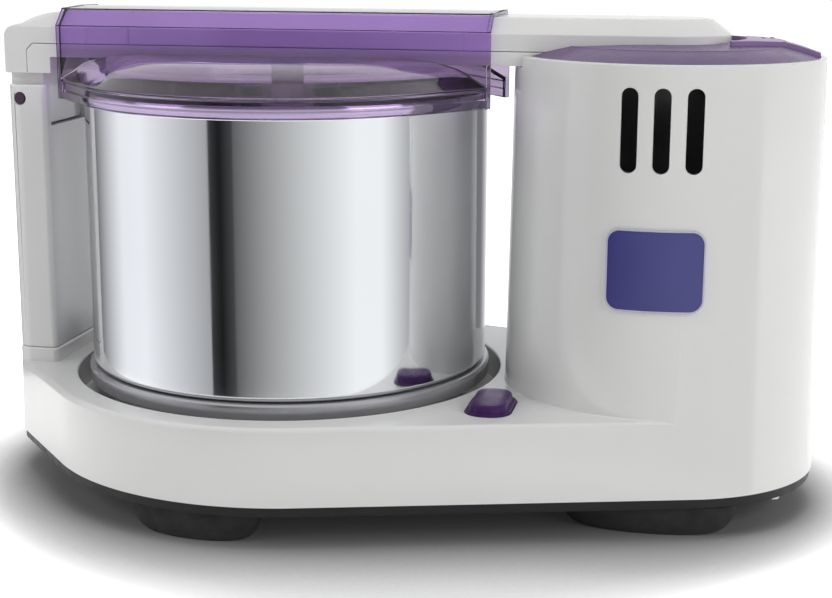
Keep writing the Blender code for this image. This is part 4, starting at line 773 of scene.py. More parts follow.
def edge_rings(outline, inset, top, radius, steps=EDGE_STEPS):
    """Rings that round the upper edge of a solid, from its side wall to its top."""
    rings = []
    for angle in quarter(steps):
        height = top - radius * (1 - math.sin(angle))
        rings.append(ring(outline, inset + radius * (1 - math.cos(angle)), height))
    return rings


def base_body(material):
    outline = base_outline()
    edge = edge_rings(outline, draft(DECK_Z - DECK_EDGE_R), DECK_Z, DECK_EDGE_R)
    return loft("housing", [ring(outline, 0.0, BASE_BOTTOM_Z), *edge], material)


def tower_body():
    outline = tower_outline()
    foot_z = BASE_BOTTOM_Z + TOWER_FOOT_RISE
    levels = (foot_z, VENT_LOW_Z - VENT_HALF_WIDTH, VENT_HIGH_Z + VENT_HALF_WIDTH / 2)
    rings = [ring(outline, draft(height) - TOWER_PROUD, height) for height in levels]
    inset = draft(TOWER_TOP_Z - RIM_EDGE_R) - TOWER_PROUD
    return loft("tower_body", rings + edge_rings(outline, inset, TOWER_TOP_Z, RIM_EDGE_R, 3))


def tower_fillet():
    """The soft round where the tower rises from the deck."""
    outline = tower_outline()
    low = DECK_Z - WALL / 2
    inside = draft(DECK_Z) + WALL / 2
    rings = [ring(outline, inside, low), ring(outline, draft(DECK_Z) - TOWER_FILLET, low)]
    for angle in quarter():
        height = DECK_Z + TOWER_FILLET * (1 - math.cos(angle))
        rings.append(ring(outline, draft(height) - TOWER_FILLET * (1 - math.sin(angle)), height))
    rings.append(ring(outline, inside, DECK_Z + TOWER_FILLET))
    fillet = loft("tower_fillet", rings, closed=True)
    guard = base_outline()
    top = DECK_Z + TOWER_FILLET + OVERRUN
    shift = DECK_EDGE_R / 2
    guard_rings = [ring(guard, draft(low) + shift, low - OVERRUN), ring(guard, draft(top) + shift, top)]
    return keep_common(fillet, loft("fillet_guard", guard_rings))


def casing_hollow(name, outline, top):
    low = BASE_BOTTOM_Z - OVERRUN
    return loft(name, [ring(outline, WALL, low), ring(outline, WALL + draft(top), top)])


def drum_well(target):
    low = WELL_FLOOR_Z - WALL
    hollow = [(0.0, WELL_FLOOR_Z), (WELL_R - WELL_EDGE_R, WELL_FLOOR_Z), (WELL_R, WELL_FLOOR_Z + WELL_EDGE_R)]
    for angle in quarter(5):
        spread = WELL_R + WELL_EDGE_R * (1 - math.cos(angle))
        hollow.append((spread, DECK_Z - WELL_EDGE_R * (1 - math.sin(angle))))
    hollow += [(WELL_R + WELL_EDGE_R, DECK_Z + OVERRUN), (0.0, DECK_Z + OVERRUN)]
    join(target, rod("well_cup", WELL_R + WALL, low, DECK_Z - WALL / 2, ROUND_STEPS, DRUM_AXIS))
    cut(target, turned("well_hollow", hollow, at=DRUM_AXIS))
    cut(target, rod("well_hole", HUB_R + GAP, low - OVERRUN, WELL_FLOOR_Z + OVERRUN, at=DRUM_AXIS))


def pedestal():
    outline = post_outline(PEDESTAL_MARGIN)
    edge = edge_rings(outline, 0.0, DECK_Z + PEDESTAL_RISE, PEDESTAL_EDGE_R, 4)
    return loft("pedestal", [ring(outline, 0.0, DECK_Z - DECK_EDGE_R), *edge])


def screw_pillars(target):
    pillars = []
    holes = []
    end = PLATE_BOTTOM_Z + SCREW_LENGTH + GAP
    for number, (x, y) in enumerate(base_pillar_spots()):
        under_drum = number < len(PILLAR_ANGLES)
        low = (PLATE_TOP_Z if under_drum else BASE_BOTTOM_Z) + GAP
        top = WELL_FLOOR_Z - WALL / 2 if under_drum else TOWER_PILLAR_TOP_Z
        spot = (x, y, 0.0)
        pillars.append(rod(f"pillar_{number}", PILLAR_R, low, top, SCREW_STEPS, spot))
        holes.append(rod(f"pillar_hole_{number}", SCREW_R + GAP, low - OVERRUN, end, SCREW_STEPS, spot))
    join(target, *pillars)
    cut(target, *holes)


def vent_slots():
    """Three upright slots with round ends in the tower's front wall."""
    slots = []
    for number in range(VENT_COUNT):
        x = VENT_MID_X + VENT_PITCH * (number - (VENT_COUNT - 1) / 2)
        outline = []
        half = SMALL_STEPS // 2
        for middle, start in ((VENT_HIGH_Z - VENT_HALF_WIDTH, 0.0), (VENT_LOW_Z + VENT_HALF_WIDTH, math.pi)):
            for k in range(half + 1):
                angle = start + math.pi * k / half
                across, up = VENT_HALF_WIDTH * math.cos(angle), VENT_HALF_WIDTH * math.sin(angle)
                outline.append((x + across, middle + up))
        front = -TOWER_HALF_Y - OVERRUN
        slots.append(loft(f"vent_{number}", [[(px, y, pz) for px, pz in outline] for y in (front, 0.0)]))
    return slots


def arm_notch():
    half_y = ARM_HALF_Y + CHANNEL_SIDE_GAP
    left = TOWER_X - TOWER_HALF_X - OVERRUN
    return block("arm_notch", (left, -half_y, CHANNEL_FLOOR_Z), (TOWER_X, half_y, TOWER_TOP_Z + OVERRUN))


def housing(material):
    piece = base_body(material)
    join(piece, tower_body())
    join(piece, tower_fillet())
    cut(piece, casing_hollow("base_hollow", base_outline(), DECK_Z - WALL),
        casing_hollow("tower_hollow", tower_outline(), TOWER_TOP_Z + OVERRUN))
    drum_well(piece)
    join(piece, pedestal())
    screw_pillars(piece)
    cut(piece, *vent_slots())
    outline = rounded_box_outline(BUTTON_X, BUTTON_Y, BUTTON_HALF_X, BUTTON_HALF_Y, BUTTON_CORNER_R)
    hole_low = DECK_Z - WALL - OVERRUN
    cut(piece, plate("button_hole", outline, hole_low, DECK_Z + OVERRUN, -RUNNING_GAP))
    cut(piece, arm_notch(), gland_hole())
    return rounded(piece, 0.0)


def base_tray(material):
    outline = base_outline()
    top = BASE_BOTTOM_Z - GAP
    rings = []
    for more, height in ((1.0, 0.0), (0.3, 0.3), (0.0, 1.0)):
        rings.append(ring(outline, PLATE_INSET + PLATE_EDGE_R * more, PLATE_BOTTOM_Z + PLATE_EDGE_R * height))
    rings.append(ring(outline, PLATE_INSET, top))
    tray = loft("base_tray", rings, material)
    holes = [plate("tray_hollow", outline, PLATE_TOP_Z, top + OVERRUN, PLATE_INSET + PLATE_RIM)]
    low = PLATE_BOTTOM_Z - OVERRUN
    high = PLATE_TOP_Z + OVERRUN
    for number, (x, y) in enumerate(base_pillar_spots()):
        holes.append(rod(f"plate_hole_{number}", SCREW_R + GAP, low, high, SCREW_STEPS, (x, y, 0.0)))
    for number in range(PLATE_VENT_COUNT):
        x = TOWER_X + PLATE_VENT_PITCH * (number - (PLATE_VENT_COUNT - 1) / 2)
        half = PLATE_VENT_HALF_WIDTH
        slot = rounded_box_outline(x, 0.0, half, PLATE_VENT_HALF_LENGTH, half)
        holes.append(plate(f"plate_vent_{number}", slot, low, high))
    cut(tray, *holes)
    return rounded(tray, 0.0)


def foot(name, x, y, half_length, degrees, material):
    """An oval rubber pad with a rounded lower edge."""
    outline = support_outline([(0.0, 0.0, half_length, FOOT_HALF_WIDTH)], CORNER_STEPS)
    top = PLATE_BOTTOM_Z - GAP
    rim = ring(outline, 0.0, 0.0)
    rings = [[(px * FOOT_TOE_SHARE, py * FOOT_TOE_SHARE, 0.0) for px, py, _ in rim]]
    for angle in quarter(8)[1:]:
        share = FOOT_TOE_SHARE + (1 - FOOT_TOE_SHARE) * math.sin(angle)
        rings.append([(px * share, py * share, top * (1 - math.cos(angle))) for px, py, _ in rim])
    pad = loft(name, rings, material)
    pad.data.transform(Matrix.Translation((x, y, 0.0)) @ Matrix.Rotation(math.radians(degrees), 4, "Z"))
    return rounded(pad, 0.0)


def feet(material):
    for side, word in ((-1, "front"), (1, "rear")):
        angle = math.radians(side * LEFT_FOOT_ANGLE)
        x = DRUM_X + LEFT_FOOT_RING_R * math.cos(angle)
        y = LEFT_FOOT_RING_R * math.sin(angle)
        turn = side * (LEFT_FOOT_ANGLE - 90)
        left = foot(f"pad_{word}_left", x, y, LEFT_FOOT_HALF_LENGTH, turn, material)
        dressed(left, "base", "black_rubber", f"foot_{word}_left")
        y = side * RIGHT_FOOT_Y
        right = foot(f"pad_{word}_right", TOWER_X, y, RIGHT_FOOT_HALF_LENGTH, 0.0, material)
        dressed(right, "base", "black_rubber", f"foot_{word}_right")


def badge_piece(name, thickness, inset, material):
    """A curved plate on the tower's front wall, its edge moved inwards by inset."""
    height = (BADGE_LOW_Z + BADGE_HIGH_Z) / 2
    half_z = (BADGE_HIGH_Z - BADGE_LOW_Z) / 2
    face = rounded_box_outline(BADGE_MID_X, height, BADGE_HALF_WIDTH, half_z, BADGE_CORNER_R)
    rings = [[(x, y, z) for x, z, _ in ring(face, inset, 0.0)] for y in (-TOWER_HALF_Y - OVERRUN, 0.0)]
    badge = loft(name, rings, material)
    outline = tower_outline()
    for word, reach, past in (("shell", GAP + thickness, 1), ("core", GAP, 2)):
        rings = []
        for z in (BADGE_LOW_Z - past * OVERRUN, BADGE_HIGH_Z + past * OVERRUN):
            rings.append(ring(outline, draft(z) - TOWER_PROUD - reach, z))
        tool = loft(word, rings)
        if past == 1:
            keep_common(badge, tool)
        else:
            cut(badge, tool)
    return badge


def badge(face_material, rim_material):
    face = badge_piece("badge_face", BADGE_FACE, BADGE_RIM, face_material)
    dressed(rounded(face, 0.0002), "base", "badge_blue", "badge_plate")
    rim = badge_piece("badge_rim", BADGE_THICKNESS, 0.0, rim_material)
    inner = badge_piece("rim_cut", 2 * BADGE_THICKNESS, BADGE_RIM + 0.00005, None)
    cut(rim, inner)
    dressed(rounded(rim, 0.00015), "base", "badge_blue")


def at_gland(thing):
    """Lays a turned piece square to the tower's back wall, its zero on the wall's outside."""
    angle = math.radians(GLAND_ANGLE)
    normal = Vector((math.cos(angle), math.sin(angle)))
    reach = Vector((TOWER_HALF_X * normal.x, TOWER_HALF_Y * normal.y)).length
    lean = draft(GLAND_Z) - TOWER_PROUD
    x = TOWER_X + TOWER_HALF_X ** 2 * normal.x / reach - lean * normal.x
    y = TOWER_HALF_Y ** 2 * normal.y / reach - lean * normal.y
    turn = Matrix.Rotation(angle, 4, "Z") @ Matrix.Rotation(math.pi / 2, 4, "Y")
    thing.data.transform(Matrix.Translation((x, y, GLAND_Z)) @ turn)
    return thing


def gland_hole():
    return at_gland(rod("gland_hole", GLAND_HOLE_R, -3 * WALL, OVERRUN))


def cord_gland(material):
    """A ribbed rubber bush in the back wall."""
    outside = GAP
    inside = -WALL - GLAND_SAG
    body_r = GLAND_HOLE_R - GAP
    tail_low = outside + GLAND_FLANGE_THICKNESS
    tail_top = outside + GLAND_TAIL_LENGTH
    profile = [(GLAND_BORE_R, inside - GLAND_FLANGE_THICKNESS),
               (GLAND_FLANGE_R, inside - GLAND_FLANGE_THICKNESS), (GLAND_FLANGE_R, inside - GAP),
               (body_r, inside - GAP), (body_r, outside + GAP), (GLAND_FLANGE_R, outside + GAP),
               (GLAND_FLANGE_R, tail_low)]
    groove_r = GLAND_TAIL_R - GLAND_GROOVE
    pitch = (tail_top - tail_low) / GLAND_RIBS
    for rib in range(GLAND_RIBS):
        start = tail_low + rib * pitch
        profile += [(groove_r, start), (groove_r, start + pitch * 0.45)]
        profile += [(GLAND_TAIL_R, start + pitch * 0.55), (GLAND_TAIL_R, start + pitch)]
    profile.append((GLAND_BORE_R, tail_top))
    return rounded(at_gland(turned("gland", softened(profile, 0.0004), material, SMALL_STEPS)), 0.0)


# Arm post and hinge

def post(material):
    low = DECK_Z + PEDESTAL_RISE + GAP
    outline = post_outline(0.0)
    edge = edge_rings(outline, 0.0, POST_TOP_Z, POST_TOP_EDGE, 4)
    piece = loft("post", [ring(outline, 0.0, low), *edge], material)
    cut(piece, plate("post_hollow", outline, low - OVERRUN, POST_HOLLOW_TOP_Z, POST_WALL))
    half_y = TONGUE_HALF_Y + GAP
    slot_low = TONGUE_LOW_Z - RUNNING_GAP
    past_left = POST_OUTER_X - OVERRUN
    past_right = POST_INNER_X + OVERRUN
    past_top = POST_TOP_Z + OVERRUN
    cut(piece, block("tongue_slot", (SLOT_BACK_X, -half_y, slot_low), (past_right, half_y, past_top)))
    cut(piece, block("tongue_sill", (past_left, -half_y, SLOT_SILL_Z), (past_right, half_y, past_top)))
    past_side = POST_HALF_Y + OVERRUN
    hole = PIN_R + GAP
    cut(piece, pin_along_y("post_pin_hole", PIN_X, PIN_Z, ((-past_side, hole), (past_side, hole))))
    return rounded(piece, 0.0004)


def hinge_pin(material):
    reach = POST_HALF_Y + PIN_PROUD
    stations = []
    for side in (-1, 1):
        ends = [(side * (reach - back), PIN_R - less) for back, less in PIN_END]
        stations += ends if side < 0 else ends[::-1]
    return rounded(pin_along_y("pin", PIN_X, PIN_Z, stations, material), 0.0)


# Swing arm

def arm_blank(name, left, inset, low, top, material=None):
    """The arm's body in plan, with its bevelled shoulders."""
    drop = ARM_TOP_Z - top
    return loft(name, [
        arm_ring(left, inset, low),
        arm_ring(left, inset, ARM_CREASE_Z - drop / 2),
        arm_ring(left, inset + ARM_BEVEL, ARM_BEVEL_TOP_Z - drop),
        arm_ring(left, inset + ARM_CROWN_INSET, top),
    ], material)


def arm_end(name, material=None):
    """The arm's hinge end: a slab with a round corner whose bevel runs round the corner."""
    levels = [(-level[0], *level[1:]) for level in ARM_END_LEVELS] + list(ARM_END_LEVELS[::-1])
    rings = []
    for y, inset_x, inset_z, width, height in levels:
        profile = [(LEG_SEAM_X, LEG_BOTTOM_Z), (LEG_SEAM_X, ARM_SEAM_Z - LEG_SEAM_CHAMFER)]
        profile += [(LEG_SEAM_X + LEG_SEAM_CHAMFER, ARM_SEAM_Z), (ARM_JOIN_X, ARM_SEAM_Z)]
        profile.append((ARM_JOIN_X, ARM_TOP_Z - inset_z))
        middle_x = ARM_LEFT_X + inset_x + width
        middle_z = ARM_TOP_Z - inset_z - height
        for angle in quarter(SMALL_STEPS // 2):
            profile.append((middle_x - width * math.sin(angle), middle_z + height * math.cos(angle)))
        profile.append((ARM_LEFT_X + inset_x, LEG_BOTTOM_Z))
        rings.append([(x, y, z) for x, z in profile])
    return loft(name, rings, material)


def tongue_profile():
    """The hinge tongue in X and Z: a heel round the pin and a toe towards the drum."""
    top = ARM_SEAM_Z - OVERRUN
    left = PIN_X - TONGUE_HEEL_R
    shelf = LEG_BOTTOM_Z - GAP
    profile = [(left, top)]
    heel_steps = SMALL_STEPS // 4
    for k in range(heel_steps + 1):
        angle = math.radians(180 + 90 * k / heel_steps)
        profile.append((PIN_X + TONGUE_HEEL_R * math.cos(angle), PIN_Z + TONGUE_HEEL_R * math.sin(angle)))
    profile += [(TONGUE_TOE_X, TONGUE_LOW_Z), (TONGUE_RIGHT_X, TONGUE_LOW_Z), (TONGUE_RIGHT_X, shelf)]
    profile += [(LEG_SEAM_X, shelf), (LEG_SEAM_X, top)]
    return profile


def arm_top(material):
    shell = arm_end("arm_top", material)
    beam = arm_blank("arm_beam", ARM_LEFT_X, 0.0, LEG_BOTTOM_Z - OVERRUN, ARM_TOP_Z)
    reach = ARM_HALF_Y + OVERRUN
    far_corner = (ARM_NOSE_X + OVERRUN, reach, ARM_TOP_Z + OVERRUN)
    keep_common(beam, block("beam_part", (ARM_JOIN_X, -reach, ARM_SEAM_Z), far_corner))
    join(shell, beam)
    hollow_left = ARM_LEFT_X + ARM_CORNER_WIDTH
    ceiling = ARM_TOP_Z - ARM_WALL
    cut(shell, arm_blank("arm_hollow", hollow_left, ARM_WALL, ARM_SEAM_Z - OVERRUN, ceiling))
    join(shell, side_slab("tongue", tongue_profile(), TONGUE_HALF_Y))
    reach = TONGUE_HALF_Y + OVERRUN
    hole = PIN_R + GAP
    cut(shell, pin_along_y("tongue_hole", PIN_X, PIN_Z, ((-reach, hole), (reach, hole))))
    return rounded(shell, 0.0004, 2, 30.0)


def arm_under(material):
    """The lower half of the arm, with a short leg and the plunger's hole."""
    top = ARM_SEAM_Z - GAP
    cover = arm_plate("arm_under", ARM_LEFT_X, 0.0, LEG_BOTTOM_Z, top, material)
    left = LEG_SEAM_X + GAP
    past_nose = ARM_NOSE_X + OVERRUN
    profile = [(left, LEG_BOTTOM_Z - OVERRUN), (LEG_INNER_X, LEG_BOTTOM_Z - OVERRUN)]
    profile += [(LEG_INNER_X, ARM_BOTTOM_Z), (past_nose, ARM_BOTTOM_Z), (past_nose, top + OVERRUN)]
    chamfer = LEG_SEAM_CHAMFER
    profile += [(left + chamfer + OVERRUN, top + OVERRUN), (left + chamfer, top), (left, top - chamfer)]
    keep_common(cover, side_slab("cover_side", profile, ARM_HALF_Y + OVERRUN))
    hollow_left = ARM_LEFT_X + ARM_CORNER_WIDTH
    floor = ARM_BOTTOM_Z + ARM_WALL
    cut(cover, arm_plate("cover_hollow", hollow_left, ARM_WALL, floor, top + OVERRUN))
    low = ARM_BOTTOM_Z - OVERRUN
    cut(cover, rod("plunger_hole", PLUNGER_R + RUNNING_GAP, low, floor + OVERRUN, at=DRUM_AXIS))
    return rounded(cover, 0.0004)


def spring(material):
    """A coil of round wire with flat end turns, where the solid is a plain tube."""
    low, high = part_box("plunger_spring")
    wire = SPRING_WIRE / 2
    bottom, top = low[2] + wire, high[2] - wire
    middle = SPRING_R - wire
    count = SPRING_TURNS * SPRING_STEPS
    rings = []
    for step in range(count + 1):
        turns = step / SPRING_STEPS
        rise = min(1.0, max(0.0, (turns - SPRING_FLAT) / (SPRING_TURNS - 2 * SPRING_FLAT)))
        along = 2 * math.pi * turns
        height = bottom + (top - bottom) * rise
        spots = []
        for k in range(SPRING_SIDES):
            angle = 2 * math.pi * k / SPRING_SIDES
            reach = middle + wire * math.cos(angle)
            x, y = reach * math.cos(along), reach * math.sin(along)
            spots.append((DRUM_X + x, y, height + wire * math.sin(angle)))
        rings.append(spots)
    coil = loft("spring", rings, material)
    coil.data.shade_smooth()
    return coil


# Lid

def smooth_knots(knots, steps=4):
    """Points on a smooth curve through the knots."""
    spots = [Vector(knots[0])]
    end = len(knots) - 1
    for k in range(end):
        first, second, third, last = [Vector(knots[max(0, min(end, k + shift))]) for shift in (-1, 0, 1, 2)]
        square = 2 * first - 5 * second + 4 * third - last
        cube = 3 * second - first - 3 * third + last
        for step in range(1, steps + 1):
            t = step / steps
            spots.append(0.5 * (2 * second + (third - first) * t + square * t * t + cube * t ** 3))
    return spots


def lid_outline():
    """The lid in plan: the drum's round drawn out to the four corners of the hood."""
    half_y = ARM_HALF_Y + HOOD_SIDE_GAP + HOOD_WALL - LID_CORNER_R
    rounds = [(DRUM_X, 0.0, LID_R, LID_R)]
    for x in (HOOD_LEFT_X + GAP + LID_CORNER_R, HOOD_RIGHT_X - GAP - LID_CORNER_R):
        for y in (-half_y, half_y):
            rounds.append((x, y, LID_CORNER_R, LID_CORNER_R))
    return support_outline(rounds, OUTLINE_STEPS)


def lid_dome(name, inset, drop, skirt, material=None):
    """The lid's dome over the rings of its skirt, given as (inset, height)."""
    outline = lid_outline()
    rings = [ring(outline, inset + more, height) for more, height in skirt]
    rim = ring(outline, inset, 0.0)
    for spot in smooth_knots(LID_DOME_SHARES)[::-1]:
        height = LID_TOP_Z - (LID_TOP_Z - LID_EDGE_Z) * max(0.0, spot.y) - drop
        rings.append([(DRUM_X + (x - DRUM_X) * spot.x, y * spot.x, height) for x, y, _ in rim])
    return loft(name, rings, material)


def hood_section(grow, grow_up, low):
    """The hood's cross-section in Y and Z round the arm."""
    half = ARM_HALF_Y + HOOD_SIDE_GAP + grow
    crease = ARM_CREASE_Z + GAP + grow_up / 2
    roof = ARM_TOP_Z + GAP + grow_up
    crown = roof + HOOD_CROWN if grow else roof
    shoulder = half - ARM_BEVEL
    return [(-half, low), (half, low), (half, crease), (shoulder, roof), (0.0, crown), (-shoulder, roof),
            (-half, crease)]


def hood_bar(name, section, left, right):
    return loft(name, [[(x, y, z) for y, z in section] for x in (left, right)])


def hood_ribs():
    """Two low upright ribs on each side of the hood."""
    face = ARM_HALF_Y + HOOD_SIDE_GAP + HOOD_WALL
    ribs = []
    for x in RIB_X:
        for side in (-1, 1):
            outline = support_outline([(x, side * face, RIB_R, RIB_R)], RIB_STEPS)
            ribs.append(plate("rib", outline, RIB_LOW_Z, ARM_CREASE_Z))
    return ribs


def lid(material):
    band = LID_SKIRT_Z + LID_BAND
    skirt = [(0.0004, LID_SKIRT_Z), (0.0, LID_SKIRT_Z + 0.0004)]
    skirt += [(0.0, band - 0.0010), (0.0003, band - 0.0003)]
    skirt += [(LID_BEAD, band), (LID_BEAD, LID_EDGE_Z - 0.0026)]
    skirt += [(0.0, LID_EDGE_Z - 0.0018), (0.0, LID_EDGE_Z - 0.0006)]
    piece = lid_dome("lid", LID_BEAD, 0.0, [(more - LID_BEAD, height) for more, height in skirt], material)
    section = hood_section(HOOD_WALL, HOOD_WALL, LID_SKIRT_Z)
    join(piece, hood_bar("hood_outer", section, HOOD_LEFT_X, HOOD_RIGHT_X))
    bead = hood_section(HOOD_WALL + HOOD_BEAD, HOOD_WALL + HOOD_BEAD / 2, LID_SKIRT_Z)
    for left in (HOOD_LEFT_X, HOOD_RIGHT_X - HOOD_BEAD_WIDTH):
        join(piece, hood_bar("hood_bead", bead, left, left + HOOD_BEAD_WIDTH))
    join(piece, *hood_ribs())
    low = LID_SKIRT_Z - OVERRUN
    cut(piece, lid_dome("lid_hollow", LID_BEAD + LID_WALL, LID_WALL, [(0.0, low)]))
    channel = hood_section(0.0, 0.0, low)
    cut(piece, hood_bar("hood_channel", channel, HOOD_LEFT_X - OVERRUN, HOOD_RIGHT_X + OVERRUN))
    return rounded(piece, 0.0003, 2, 24.0)


# Drum and what turns with it

def drum(material):
    """Thin steel bowl with a rolled bead at its rim and a seam at its foot."""
    inner = DRUM_R - DRUM_WALL
    floor = DRUM_BOTTOM_Z + DRUM_WALL
    bead_low = DRUM_RIM_Z - DRUM_BEAD_HEIGHT
    bead_mid = DRUM_RIM_Z - DRUM_BEAD_HEIGHT / 2
    bead_edge = (DRUM_R + DRUM_BEAD_R) / 2
    profile = [(0.0, DRUM_BOTTOM_Z), (DRUM_R - DRUM_FOOT_R, DRUM_BOTTOM_Z)]
    for angle in quarter(5):
        spread = DRUM_R - DRUM_FOOT_R * (1 - math.sin(angle))
        profile.append((spread, DRUM_BOTTOM_Z + DRUM_FOOT_R * (1 - math.cos(angle))))
    profile += [(DRUM_R, bead_low), (bead_edge, bead_low + 0.0003),
                (DRUM_BEAD_R - 0.0001, bead_mid - 2 * DRUM_WALL), (DRUM_BEAD_R, bead_mid),
                (DRUM_BEAD_R - 0.0001, bead_mid + 2 * DRUM_WALL), (bead_edge, DRUM_RIM_Z - 0.0002),
                (DRUM_R - DRUM_WALL / 2, DRUM_RIM_Z), (inner, DRUM_RIM_Z - 0.0004)]
    for angle in quarter(5):
        spread = inner - DRUM_FOOT_R * (1 - math.cos(angle))
        profile.append((spread, floor + DRUM_FOOT_R * (1 - math.sin(angle))))
    profile.append((0.0, floor))
    return rounded(turned("drum_bowl", profile, material, at=DRUM_AXIS), 0.0)


def drum_foot(material):
    """Grey moulding under the drum, with a rim and a drive socket."""
    top = DRUM_BOTTOM_Z - GAP
    under = top - DRUM_BASE_PLATE
    rim_inner = DRUM_BASE_R - DRUM_BASE_RIM
    profile = [(0.0, SOCKET_LOW_Z), (SOCKET_R, SOCKET_LOW_Z), (SOCKET_R, under), (rim_inner, under),
               (rim_inner, DRUM_BASE_LOW_Z), (DRUM_BASE_R, DRUM_BASE_LOW_Z), (DRUM_BASE_R, top), (0.0, top)]
    base = turned("drum_foot", softened(profile, 0.0024, 5), material, at=DRUM_AXIS)
    low = SOCKET_LOW_Z - OVERRUN
    cut(base, rod("drive_socket", DOG_R + RUNNING_GAP, low, top + OVERRUN, DOG_SIDES, DRUM_AXIS))
    return rounded(base, 0.0)


def bed_stone(material):
    low = DRUM_BOTTOM_Z + DRUM_WALL + GAP
    edge = BED_STONE_R - STONE_EDGE
    profile = [(BED_STONE_BORE_R, low), (edge - STONE_EDGE, low), (BED_STONE_R, low + 2 * STONE_EDGE),
               (BED_STONE_R, STONE_BED_Z - STONE_EDGE), (edge, STONE_BED_Z),
               (BED_STONE_BORE_R, STONE_BED_Z)]
    return rounded(turned("bed_slab", softened(profile, 0.0008), material, at=DRUM_AXIS), 0.0)


def drum_post(material):
    low = DRUM_BOTTOM_Z + DRUM_WALL + GAP
    foot_top = low + DRUM_SHAFT_FOOT_HEIGHT
    profile = [(0.0, low), (DRUM_SHAFT_FOOT_R, low), (DRUM_SHAFT_FOOT_R, foot_top),
               (DRUM_SHAFT_R, foot_top), (DRUM_SHAFT_R, DRUM_SHAFT_TOP_Z - STONE_EDGE),
               (DRUM_SHAFT_R - STONE_EDGE, DRUM_SHAFT_TOP_Z), (0.0, DRUM_SHAFT_TOP_Z)]
    return rounded(turned("drum_post", softened(profile, 0.0005), material, SMALL_STEPS, DRUM_AXIS), 0.0)


# Stones that roll on the bed stone

def along_roller(thing, side):
    """Lays a turned piece on a roller's axis: its zero goes to the bed stone's middle."""
    place = Matrix.Translation((DRUM_X, 0.0, STONE_BED_Z + STONE_LIFT))
    turn = Matrix.Rotation(math.radians(-side * (90 - STONE_TILT)), 4, "X")
    thing.data.transform(place @ turn)
    return thing


def roller(name, side, material):
    """A blunt granite cone whose point would lie at the drum's axis."""
    spread = math.tan(math.radians(STONE_TILT))
    bore = AXLE_R + RUNNING_GAP
    profile = [(bore, STONE_INNER), (STONE_INNER * spread - STONE_EDGE, STONE_INNER),
               ((STONE_INNER + STONE_EDGE) * spread, STONE_INNER + STONE_EDGE),
               ((STONE_OUTER - STONE_EDGE) * spread, STONE_OUTER - STONE_EDGE),
               (STONE_OUTER * spread - STONE_EDGE, STONE_OUTER), (bore, STONE_OUTER)]
    return rounded(along_roller(turned(name, softened(profile, 0.0008), material), side), 0.0)


def axle(name, side, material):
    cap_low = STONE_OUTER + GAP
    cap_top = cap_low + AXLE_CAP_THICKNESS
    profile = [(0.0, AXLE_INNER), (AXLE_R, AXLE_INNER), (AXLE_R, cap_low), (AXLE_CAP_R, cap_low),
               (AXLE_CAP_R, cap_top), (AXLE_R, AXLE_OUTER), (0.0, AXLE_OUTER)]
    return rounded(along_roller(turned(name, softened(profile, 0.0004), material, SMALL_STEPS), side), 0.0)


def carrier(material):
    """Sleeve over the drum's shaft that holds both roller axles."""
    low = STONE_BED_Z + CARRIER_LOW_RISE
    collar_top = low + CARRIER_COLLAR_HEIGHT
    profile = [(0.0, low), (CARRIER_COLLAR_R, low), (CARRIER_COLLAR_R, collar_top - CARRIER_R / 2),
               (CARRIER_R, collar_top), (CARRIER_R, CARRIER_TOP_Z), (0.0, CARRIER_TOP_Z)]
    piece = turned("carrier", softened(profile, 0.001), material, 2 * SMALL_STEPS, DRUM_AXIS)
    bosses = []
    holes = []
    for side in (-1, 1):
        bosses.append(along_roller(rod(f"boss_{side}", BOSS_R, BOSS_INNER, BOSS_OUTER), side))
        hole = rod(f"axle_hole_{side}", AXLE_R + GAP, AXLE_INNER - GAP, BOSS_OUTER + OVERRUN)
        holes.append(along_roller(hole, side))
    join(piece, *bosses)
    cut(piece, *holes)
    bore_top = DRUM_SHAFT_TOP_Z + RUNNING_GAP
    cut(piece, rod("carrier_bore", DRUM_SHAFT_R + RUNNING_GAP, low - OVERRUN, bore_top, at=DRUM_AXIS))
    return rounded(piece, 0.0003)


# Power button

def button(material):
    """Push button with a low lip round a raised, softly crowned face."""
    outline = rounded_box_outline(BUTTON_X, BUTTON_Y, BUTTON_HALF_X, BUTTON_HALF_Y, BUTTON_CORNER_R, 72)
    top = DECK_Z + BUTTON_PROUD
    lip = DECK_Z + BUTTON_LIP_RISE
    rings = [ring(outline, 0.0, DECK_Z - BUTTON_DEPTH), ring(outline, 0.0, lip - 0.0005)]
    rings += [ring(outline, 0.00015, lip - 0.00015), ring(outline, 0.0005, lip)]
    rings.append(ring(outline, BUTTON_LIP, lip))
    start = BUTTON_LIP + 0.0002
    rings += edge_rings(outline, start + 0.0005, top - BUTTON_CROWN, BUTTON_EDGE_R, 5)
    rings += [ring(outline, start + 0.0035, top - 0.0001), ring(outline, start + 0.0060, top)]
    return rounded(loft("button", rings, material), 0.0)


# Tower cap and release button

def cap_dome(name, inset, low, drop, material=None):
    """A shallow dome over the tower's mouth, as a solid down to low."""
    outline = tower_outline()
    start = WALL + draft(TOWER_TOP_Z) + GAP + inset
    reach = TOWER_HALF_Y ** 2 / TOWER_HALF_X - start
    rings = [ring(outline, start, low)]
    for spot in smooth_knots(CAP_DOME_SHARES, 3):
        height = CAP_EDGE_Z + CAP_RISE * min(spot.y, 1.0) - drop
        rings.append(ring(outline, start + reach * spot.x, height))
    return loft(name, rings, material)


